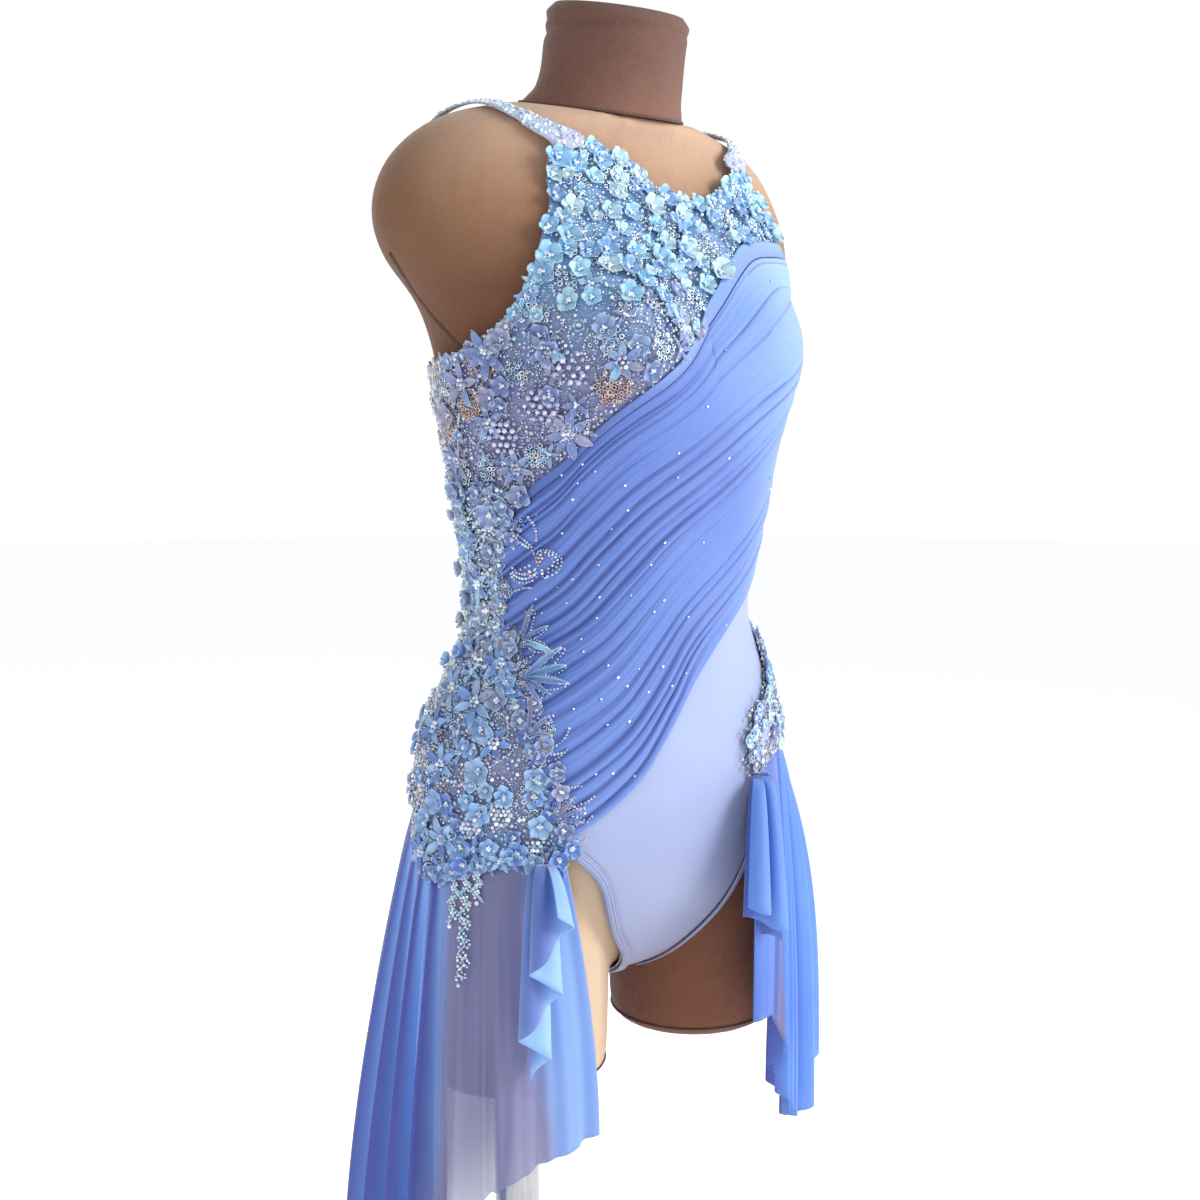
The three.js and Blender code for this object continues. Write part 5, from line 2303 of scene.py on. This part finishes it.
@dataclass
class Lace:
    """Lace on the bodice, the right side and the left hip."""

    finishes: Finishes

    def build(self, skirt: HalfSkirt) -> None:
        """Builds each stretch of lace.

        Args:
            skirt: The half skirt under the side lace.
        """
        self.upper_net()
        self.bodice()
        self.side()
        self.strand(skirt)
        self.hip()
        self.sprays()

    def _ground_piece(
        self, name: str, node: str, patch: Patch, columns: int, rows: int,
        net: bpy.types.Material,
    ) -> bpy.types.Object:
        """A net panel over the cloth.

        Args:
            name: Name of the piece.
            node: CAD node that it stands for.
            patch: Its four edges.
            columns: Faces across.
            rows: Faces down.
            net: Its material.

        Returns:
            The panel.
        """
        def place(u: Array, v: Array) -> Array:
            """Points of the net, with the soft swells of the flowers under it.

            Args:
                u: Shares across.
                v: Shares down.

            Returns:
                Points in mm.
            """
            angle, level = patch.at(u, v)
            wavy = 0.5 * np.sin(angle * 0.9) * np.sin(level * 0.35)
            return FIGURE.lifted(FIGURE.hang, angle, level, LACE_LIFT + LACE_WALL + wavy)

        panel = mapped_grid(
            name, columns, rows, place,
            {"high": lambda u, v: 0.35 + 0.3 * np.sin(patch.at(u, v)[1] * 0.05)},
            flip=name.endswith("right"),
        )
        return finish_piece(panel, net, (node,), wall=1.0)

    def upper_net(self) -> None:
        """Net over the side of the back panel, where the lace goes round."""
        def place(u: Array, v: Array) -> Array:
            """Points of the net.

            Args:
                u: Shares across.
                v: Shares up.

            Returns:
                Points in mm.
            """
            angle = blend(LACE_BACK_END, UPPER_NET_FROM, u)
            low = np.interp(-angle, [90, 96, 112, 116], [1167, 1167, 1173, 1175])
            high = np.interp(-angle, [90, 108, 116], [1249.5, 1244.5, 1243])
            wavy = 0.3 * np.sin(angle * 0.9) * np.sin(v * 25)
            lift = LEOTARD_LIFT + LYCRA_WALL + 1.2 + wavy
            return FIGURE.lifted(FIGURE.body, angle, blend(low, high, v), lift)

        net = mapped_grid(
            "side_net_upper", columns=24, rows=36, place=place,
            marks={"high": lambda u, v: 0.2 + 0 * u},
        )
        finish_piece(net, self.finishes.net, (), wall=0.9)

    def bodice(self) -> None:
        """Flowers, pearls and sequins over the bare part of the bodice."""
        line = edge(NECK_AND_ARMHOLES)
        upper = on_edge(line, np.linspace(0, 1, 160))
        upper = upper[upper[:, 0] < LACE_LEFT_END]
        back = on_edge(edge(tuple((-a, z) for a, z in BACK_TOP if a < 125)), np.linspace(1, 0, 30))
        back = back[back[:, 0] > LACE_BACK_END]
        low = on_edge(edge(SASH_TOP), np.linspace(0, 1, 120))
        side = np.array([(-72, 1150), (-96, 1160), (-116, 1168)])
        outline = np.vstack([back, upper, low, side])
        ground = Ground(FIGURE.body, LEOTARD_LIFT + LYCRA_WALL + 0.2, outline)
        lace = LaceTrim(ground, Palette(), fade=(1215, 1318), seed=7)
        rng = lace.rng

        def front(points: Array) -> Array:
            """Points that are not round the back."""
            return points[points[:, 0] > BODICE_FLOWERS_FROM * ARC]

        for point in front(ground.spread(9.6, tries=3600, rng=rng, inset=2.0)):
            high = lace.share(point[None])[0]
            if rng.random() < 0.38 + 0.6 * high:
                trim = Trim.PETAL if rng.random() < 0.45 + 0.5 * high else Trim.LEAF
                lace.blossom(
                    point, radius=rng.uniform(6.2, 10.0), petals=5, trim=trim,
                    lift=rng.uniform(0.2, 1.6), tilt=0.24, hearts=4,
                )
        for point in front(ground.spread(17.0, tries=900, rng=rng, inset=4.0)):
            high = lace.share(point[None])[0]
            if rng.random() < 0.1 + 0.6 * high:
                lace.blossom(
                    point, radius=rng.uniform(4.5, 7.0), petals=5, trim=Trim.PETAL, lift=2.4,
                    tilt=0.55, hearts=7,
                )
        for point in front(ground.spread(31.0, tries=700, rng=rng, inset=9.0)):
            if lace.share(point[None])[0] < 0.6:
                lace.daisy(
                    point, radius=rng.uniform(11.0, 17.0), petals=int(rng.integers(5, 8)),
                    pearls=5.2, lift=1.2,
                )
        for k, point in enumerate(ground.spread(24.0, tries=1200, rng=rng, inset=8.0)):
            high = lace.share(point[None])[0]
            if k % 5 == 0 and high < 0.6:
                lace.cluster(
                    point, radius=12.0, pitch=5.2, size=3.9, trim=Trim.BEAD, colours=Palette.pearls,
                    lift=2.0,
                )
            elif k % 5 == 2 and high < 0.6:
                lace.cluster(
                    point, radius=rng.uniform(9, 13), pitch=3.4, size=3.8, trim=Trim.RING,
                    colours=Palette.accent, lift=2.0,
                )
            else:
                reach = rng.uniform(6, 10)
                lace.cluster(
                    point, radius=reach, pitch=3.6, size=3.8, trim=Trim.RING,
                    colours=Palette.beads_high, lift=2.6,
                )
        for point in ground.spread(11.0, tries=1800, rng=rng, inset=3.0):
            curl = rng.choice([-0.2, 0.16, 0.24])
            lace.trail(
                point, bearing=rng.uniform(0, 6.28), count=int(rng.integers(9, 22)), pitch=2.1,
                curl=curl, size=1.9,
            )
        rows = on_edge(line, np.linspace(0, 1, 400))
        neckline = rows[(rows[:, 0] > NECKLINE_FROM) & (rows[:, 0] < NECKLINE_TO)]
        lace.scallops(neckline * (ARC, 1), spacing=6.0, radius=5.4, inset=np.array([0.0, -3.0]))
        armhole = rows[rows[:, 0] < ARMHOLE_TO]
        lace.scallops(armhole * (ARC, 1), spacing=8.0, radius=5.4, inset=np.array([2.0, -3.0]))
        lace.filler(2.5, tries=26000, sizes=(2.0, 2.9), mix=SMALL_TRIMS)
        side_points = ground.spread(3.2, tries=9000, rng=rng, inset=1.0)
        lace.tubes(side_points[side_points[:, 0] < BODICE_TUBES_TO * ARC], length=6.0)
        lace.build("bodice", self.finishes)

    def side(self) -> None:
        """Lace down the right side, to the hip."""
        patch = Patch(LACE_FRONT, LACE_BACK, LACE_TOP, LACE_BOTTOM)
        net = self._ground_piece(
            "side_net_right", "lace_side_right", patch, columns=72, rows=44, net=self.finishes.net
        )
        ground = Ground(FIGURE.hang, LACE_LIFT + LACE_WALL, patch.outline())
        palette = Palette(
            petals_high=("#8a9cc6", "#9aa6c8", "#7d95cc", "#a7b0cf", "#86a8d8"),
            petals_low=("#6ca2e6", "#86b6ec", "#5787d8", "#99c4ef", "#4f7cc8"),
            beads_low=("#ffffff", "#d3e4f4", "#a9c4ea", "#8fa6c4", "#c6c0dc"),
        )
        lace = LaceTrim(ground, palette, fade=(960, 1100), seed=21)
        rng = lace.rng
        for point in ground.spread(10.5, tries=2600, rng=rng, inset=1.5):
            if point[0] > SIDE_FLOWERS_FROM * ARC and rng.random() < 0.62:
                trim = Trim.PETAL if rng.random() < 0.7 else Trim.LEAF
                lace.blossom(
                    point, radius=rng.uniform(6.0, 9.8), petals=5, trim=trim,
                    lift=rng.uniform(0.3, 1.4), tilt=0.24, hearts=5,
                )
        for point in ground.spread(23.0, tries=900, rng=rng, inset=4.0):
            draw = rng.random()
            if draw < 0.4:
                lace.blossom(
                    point, radius=rng.uniform(6.0, 8.5), petals=5, trim=Trim.PETAL, lift=2.4,
                    tilt=0.5, hearts=7,
                )
            elif draw < 0.65:
                lace.daisy(point, radius=rng.uniform(12, 17), petals=6, pearls=3.8, lift=1.6)
            else:
                kind = Trim.RING if draw < 0.85 else Trim.BEAD
                lace.cluster(
                    point, radius=rng.uniform(6, 10), pitch=3.5, size=3.5, trim=kind, colours=None,
                    lift=2.2,
                )
        for point in ground.spread(11.0, tries=1200, rng=rng, inset=1.0):
            curl = rng.uniform(-0.25, 0.25)
            lace.trail(
                point, bearing=rng.uniform(0, 6.28), count=int(rng.integers(8, 18)), pitch=2.1,
                curl=curl, size=2.0,
            )
        lace.filler(2.6, tries=20000, sizes=(1.9, 3.0), mix=SMALL_TRIMS)
        side_points = ground.spread(4.0, tries=6000, rng=rng, inset=1.0)
        lace.tubes(side_points[side_points[:, 0] < SIDE_TUBES_TO * ARC], length=5.0)
        low = on_edge(patch.end, np.linspace(0, 0.9, 60)) * (ARC, 1)
        lace.scallops(low, spacing=8.0, radius=6.5, inset=np.array([0.0, 1.0]))
        front = on_edge(patch.top, np.linspace(0.05, 1, 90)) * (ARC, 1)
        lace.scallops(front, spacing=11.0, radius=6.0, inset=np.array([-1.0, 0.0]))
        for share in (0.18, 0.3, 0.42, 0.55):
            foot = on_edge(patch.end, share) * (ARC, 1)
            lace.leaf(
                foot + (0, 2), bearing=-1.6 + rng.uniform(-0.5, 0.5), length=10.0, lift=1.6,
                wide=0.5,
            )
        corner = ((-42.5, 914), (-39, 921), (-46.5, 909), (-43.5, 904), (-50, 912))
        for angle, level in corner:
            point = np.array([angle * ARC, float(level)])
            lace.blossom(
                point, radius=rng.uniform(6.0, 8.0), petals=5, trim=Trim.PETAL, lift=5.0, tilt=0.3,
                hearts=6,
            )
            lace.beads(point + rng.normal(0, 5.0, (14, 2)), size=2.8, lift=5.5, trim=Trim.RING)
        lace.build("side_lace", self.finishes)

    def strand(self, skirt: HalfSkirt) -> None:
        """Leaves and beads that hang from the side lace over the skirt.

        Args:
            skirt: The half skirt that they lie on.
        """
        def place(angle: Array, level: Array) -> Array:
            """Points of the skirt, read by angle and level."""
            angle, level = np.broadcast_arrays(np.asarray(angle, float), np.asarray(level, float))
            down = np.clip((SKIRT_TOP - level) / SKIRT_DROP, 0, 1)
            return skirt.surface((SKIRT_FRONT - angle) / SKIRT_SPAN, down)

        box = np.array([(-100.0, 700.0), (-40.0, 700.0), (-40.0, 915.0), (-100.0, 915.0)])
        lace = LaceTrim(Ground(place, 0.8, box), Palette(), fade=(600, 900), seed=61)
        strands = ((-71.0, 908.0, 11), (-67.0, 908.0, 3), (-75.0, 905.0, 4))
        for angle, top, links in strands:
            for k in range(links):
                point = np.array([angle * ARC + 1.5 * (k % 2), top - 6.0 * k])
                lace.leaf(
                    point, bearing=-1.57 + 0.75 * (-1) ** k, length=8.5 - 0.4 * k, lift=0.3,
                    wide=0.6,
                )
                lace.cluster(
                    point, radius=2.4, pitch=2.2, size=2.3, trim=Trim.BEAD, colours=None, lift=0.8
                )
            lace.beads(np.array([[angle * ARC, top - 6.0 * links]]), size=3.2, lift=0.5)
        lace.build("skirt_strand", self.finishes)

    def hip(self) -> None:
        """Lace at the left hip."""
        patch = Patch(HIP_LACE_TOP, HIP_LACE_BOTTOM, HIP_LACE_FRONT, HIP_LACE_BACK)
        net = self._ground_piece(
            "hip_net_left", "lace_hip_left", patch, columns=60, rows=40, net=self.finishes.pale_net
        )
        ground = Ground(FIGURE.hang, LACE_LIFT + LACE_WALL, patch.outline())
        lace = LaceTrim(ground, Palette(), fade=(700, 1300), seed=33)
        rng = lace.rng
        for point in ground.spread(11.0, tries=900, rng=rng, inset=0.5):
            trim = Trim.PETAL if rng.random() < 0.5 else Trim.LEAF
            lace.blossom(
                point, radius=rng.uniform(5.5, 8.5), petals=5, trim=trim, lift=0.4, tilt=0.3,
                hearts=5,
            )
        for point in ground.spread(15.0, tries=500, rng=rng, inset=1.0):
            lace.cluster(
                point, radius=rng.uniform(5, 8), pitch=3.4, size=3.5, trim=Trim.RING,
                colours=Palette.silver, lift=1.8,
            )
        lace.filler(2.7, tries=7000, sizes=(2.0, 3.1), mix=HIP_SMALL_TRIMS, inset=0.0)
        for share in np.linspace(0.02, 1.0, 15):
            point = on_edge(patch.start, share) * (ARC, 1) + rng.normal(0, 2.0, 2)
            lace.blossom(
                point, radius=rng.uniform(4.5, 7.0), petals=5, trim=Trim.PETAL, lift=0.3, tilt=0.2,
                hearts=4,
            )
            spill = point + rng.normal(0, 4.5, (12, 2)) - (2.5, 0)
            lace.beads(spill, size=2.7, lift=-0.4, trim=Trim.RING, colours=Palette.silver)
        lace.build("hip_lace", self.finishes)

    def sprays(self) -> None:
        """Beaded sprays, curls and loose stones over the sash, on its folds."""
        sash = Sash(self.finishes)
        shares = np.meshgrid(np.linspace(0, 1, 150), np.linspace(0, 1, 170))
        s, t = (part.ravel() for part in shares)
        angle, level = sash.patch.at(s, t)
        relief = np.stack([angle * ARC, level, sash.height(s, t)], axis=1)
        ground = Ground(FIGURE.body, SASH_LIFT + MESH_WALL + 0.2, sash.patch.outline(), relief)
        lace = LaceTrim(ground, Palette(), fade=(900, 1500), seed=52)
        rng = lace.rng
        middle = np.array([-59 * ARC, 1117.0])
        for reach, end in ((17.0, 4.6), (13.5, 4.2), (10.0, 3.8)):
            turn = -2.6 + np.linspace(0, end, int(reach * end * 0.62 / 2.4))
            shrink = (1 - 0.13 * (turn + 2.6))[:, None]
            curl = np.stack([np.cos(turn) * reach * 1.25, np.sin(turn) * reach * 0.8], axis=1)
            lace.beads(middle + curl * shrink, size=2.1, lift=0.5)
        hearts = Palette.accent + Palette.pearls
        lace.cluster(
            middle + (-3.0, 1.0), radius=4.2, pitch=2.7, size=2.3, trim=Trim.BEAD, colours=hearts
        )
        for row in range(3):
            start = np.array([-72.0 * ARC, 1112.0 - 3.0 * row])
            lace.trail(start, bearing=-0.75, count=12 - 2 * row, pitch=2.6, curl=0.16, size=2.2)
        sprays = ((-66, 1058, 0.5, 3, 26.0), (-61, 1032, -0.1, 5, 30.0), (-55, 998, 0.7, 3, 20.0),
                  (-44, 944, 0.6, 4, 18.0))
        for angle, level, bearing, leaves, length in sprays:
            point = np.array([angle * ARC, float(level)])
            for turn in np.linspace(-0.8, 0.8, leaves):
                reach = length * rng.uniform(0.75, 1.1)
                lace.leaf(
                    point, bearing=bearing + turn, length=reach, lift=0.8, wide=0.42, tilt=0.0
                )
                lace.rim_beads(
                    point, bearing=bearing + turn, length=reach, width=0.26 * reach, lift=0.8
                )
            lace.cluster(
                point, radius=7.0, pitch=3.0, size=3.0, trim=Trim.RING, colours=None, lift=1.0
            )
        for share in rng.uniform(0.05, 1.0, 60):
            foot = on_edge(sash.patch.end, share) * (ARC, 1)
            point = foot + (rng.uniform(-2.0, 13.0), rng.uniform(-6.0, 6.0))
            if not ground.holds(point[None])[0]:
                continue
            kind = rng.integers(0, 3)
            if kind == 0:
                lace.blossom(
                    point, radius=rng.uniform(5.0, 7.5), petals=5, trim=Trim.PETAL, lift=1.2,
                    tilt=0.25, hearts=4,
                )
            elif kind == 1:
                lace.cluster(
                    point, radius=rng.uniform(4.0, 7.0), pitch=3.0, size=3.0, trim=Trim.RING,
                    colours=None, lift=1.0,
                )
            else:
                lace.trail(
                    point, bearing=rng.uniform(-1.5, 1.5), count=9, pitch=2.2,
                    curl=rng.uniform(-0.2, 0.2), size=2.2,
                )
        near = ground.spread(9.0, tries=900, rng=rng, inset=3.0)
        odds = np.clip(1.05 - (near[:, 0] + 75 * ARC) / (80 * ARC), 0.06, 0.7)
        near = near[rng.random(len(near)) < odds]
        lace.beads(near, size=2.3, lift=0.0, trim=Trim.STONE, colours=Palette.beads_high)
        lace.build("sash_trim", self.finishes)


# Camera, light and ground

@dataclass
class Studio:
    """Camera at the photo's angle, soft light and a pale ground."""

    finishes: Finishes
    eye: tuple[float, float, float] = (-744.2, -876.9, 1215.0)
    target: tuple[float, float, float] = (-5.0, 4.0, 1075.0)
    lens: float = 46.92
    sensor: float = 36.0

    def build(self) -> None:
        """Builds everything that is not the part."""
        self.camera()
        self.lights()
        self.ground()

    def _aimed(self, made: bpy.types.Object, place: tuple, target: tuple) -> None:
        """Puts an object at a place, looking at a target.

        Args:
            made: The object.
            place: Its place in mm.
            target: Where it looks.
        """
        made.location = Vector(place) * MM
        made.rotation_euler = (Vector(target) - Vector(place)).to_track_quat("-Z", "Y").to_euler()
        bpy.context.scene.collection.objects.link(made)

    def camera(self) -> None:
        """The camera."""
        data = bpy.data.cameras.new("photo_camera")
        data.lens = self.lens
        data.sensor_width = self.sensor
        data.clip_start, data.clip_end = 0.05, 50.0
        camera = bpy.data.objects.new("photo_camera", data)
        self._aimed(camera, self.eye, self.target)
        bpy.context.scene.camera = camera

    def lights(self) -> None:
        """Large soft lights and a pale world."""
        lamps = (
            ("key", (1500, -1750, 2150), 1.6, 66.0),
            ("fill", (-1900, -1300, 1700), 2.0, 11.0),
            ("back", (600, 2200, 2300), 1.8, 26.0),
        )
        for name, place, size, power in lamps:
            data = bpy.data.lights.new(name, "AREA")
            data.size = size
            data.energy = power
            self._aimed(bpy.data.objects.new(name, data), place, (0, 0, 1080))
        world = bpy.data.worlds.new("studio")
        bpy.context.scene.world = world
        world.use_nodes = True
        graph = Graph(world.node_tree)
        soft = graph.node("Background", None, {"Color": (0.96, 0.98, 1.0, 1.0), "Strength": 0.55})
        wall = graph.node("Background", None, {"Color": (1.0, 1.0, 1.0, 1.0)})
        seen = graph.node("LightPath").outputs["Is Camera Ray"]
        either = graph.node("MixShader", None, {0: seen, 1: soft.outputs[0], 2: wall.outputs[0]})
        graph.feed(graph.tree.nodes["World Output"].inputs["Surface"], either.outputs[0])
        bpy.context.scene.view_settings.view_transform = "Standard"

    def ground(self) -> None:
        """A wide round sheet of paper."""
        shape = bmesh.new()
        bmesh.ops.create_circle(shape, cap_ends=True, segments=96, radius=14.0)
        bmesh.ops.translate(shape, verts=shape.verts, vec=(0, 0, -0.0005))
        mesh = bpy.data.meshes.new("paper_floor")
        shape.to_mesh(mesh)
        shape.free()
        floor = bpy.data.objects.new("paper_floor", mesh)
        bpy.context.scene.collection.objects.link(floor)
        mesh.materials.append(self.finishes.paper)


# Edges of the half skirts: tops as angle and level, hems as points
RIGHT_TOP = (
    (-40.5, 915.2), (-55, 912.2), (-66, 907), (-78, 899), (-88, 894.6), (-98, 902),
    (-112, 929), (-128, 938), (-146, 941), (-165, 943),
)
RIGHT_HEM = (
    (-76, -80, 712), (-118, -77, 704), (-152, -64, 690), (-174, -22, 640), (-186, 34, 572),
    (-172, 88, 572), (-134, 128, 610), (-86, 148, 650), (-40, 150, 700),
)
LEFT_TOP = (
    (27.6, 949.6), (45, 958.8), (60, 969.8), (75, 977.8), (100, 982.8), (120, 978),
    (138, 970), (150, 964),
)
LEFT_HEM = (
    (62, -94, 762), (86, -92, 760), (114, -76, 672), (150, -60, 655), (184, -34, 690),
    (197, 10, 728), (184, 66, 742), (146, 108, 750), (96, 134, 764),
)


def main() -> None:
    """Builds the classes in order."""
    logging.basicConfig(level=logging.INFO, format="%(message)s")
    finishes = Finishes()
    Studio(finishes).build()
    DressForm(finishes).build()
    Leotard(finishes).build()
    Sash(finishes).build()
    right_skirt = HalfSkirt(
        finishes, "skirt_right_veil", "skirt_right", RIGHT_TOP, RIGHT_HEM, flare=1.7, folds=11,
        top_depth=1.6, hem_depth=11.0, calm=0.2, clear_to=0.3, area=0.13, flat=(0.52, 0.36),
        glow=1.2, seed=3,
    )
    right_skirt.build()
    HalfSkirt(
        finishes, "skirt_left_veil", "skirt_left", LEFT_TOP, LEFT_HEM, flare=3.2, folds=9,
        top_depth=1.4, hem_depth=9.0, calm=0.12, clear_to=0.1, area=0.1, flat=(0.45, 0.32),
        glow=0.1, seed=4,
    ).build()
    Cascade(
        finishes, "cascade_right_veil", "skirt_right_cascade", (-120, -78, 913), (-138, -112),
        strand=37, waves=2.5, turn=2.1, axis=0, hem=(890, 768), area=0.0127,
        flat=(0.185, 0.145), glow=1.6,
    ).build()
    Cascade(
        finishes, "cascade_left_veil", "skirt_left_cascade", (56, -97, 949), (24, -124),
        strand=36, waves=2.0, turn=1.75, axis=75, hem=(866, 826), area=0.0119,
        flat=(0.145, 0.125), glow=0.1,
    ).build()
    Lace(finishes).build(right_skirt)


if __name__ == "__main__":
    main()
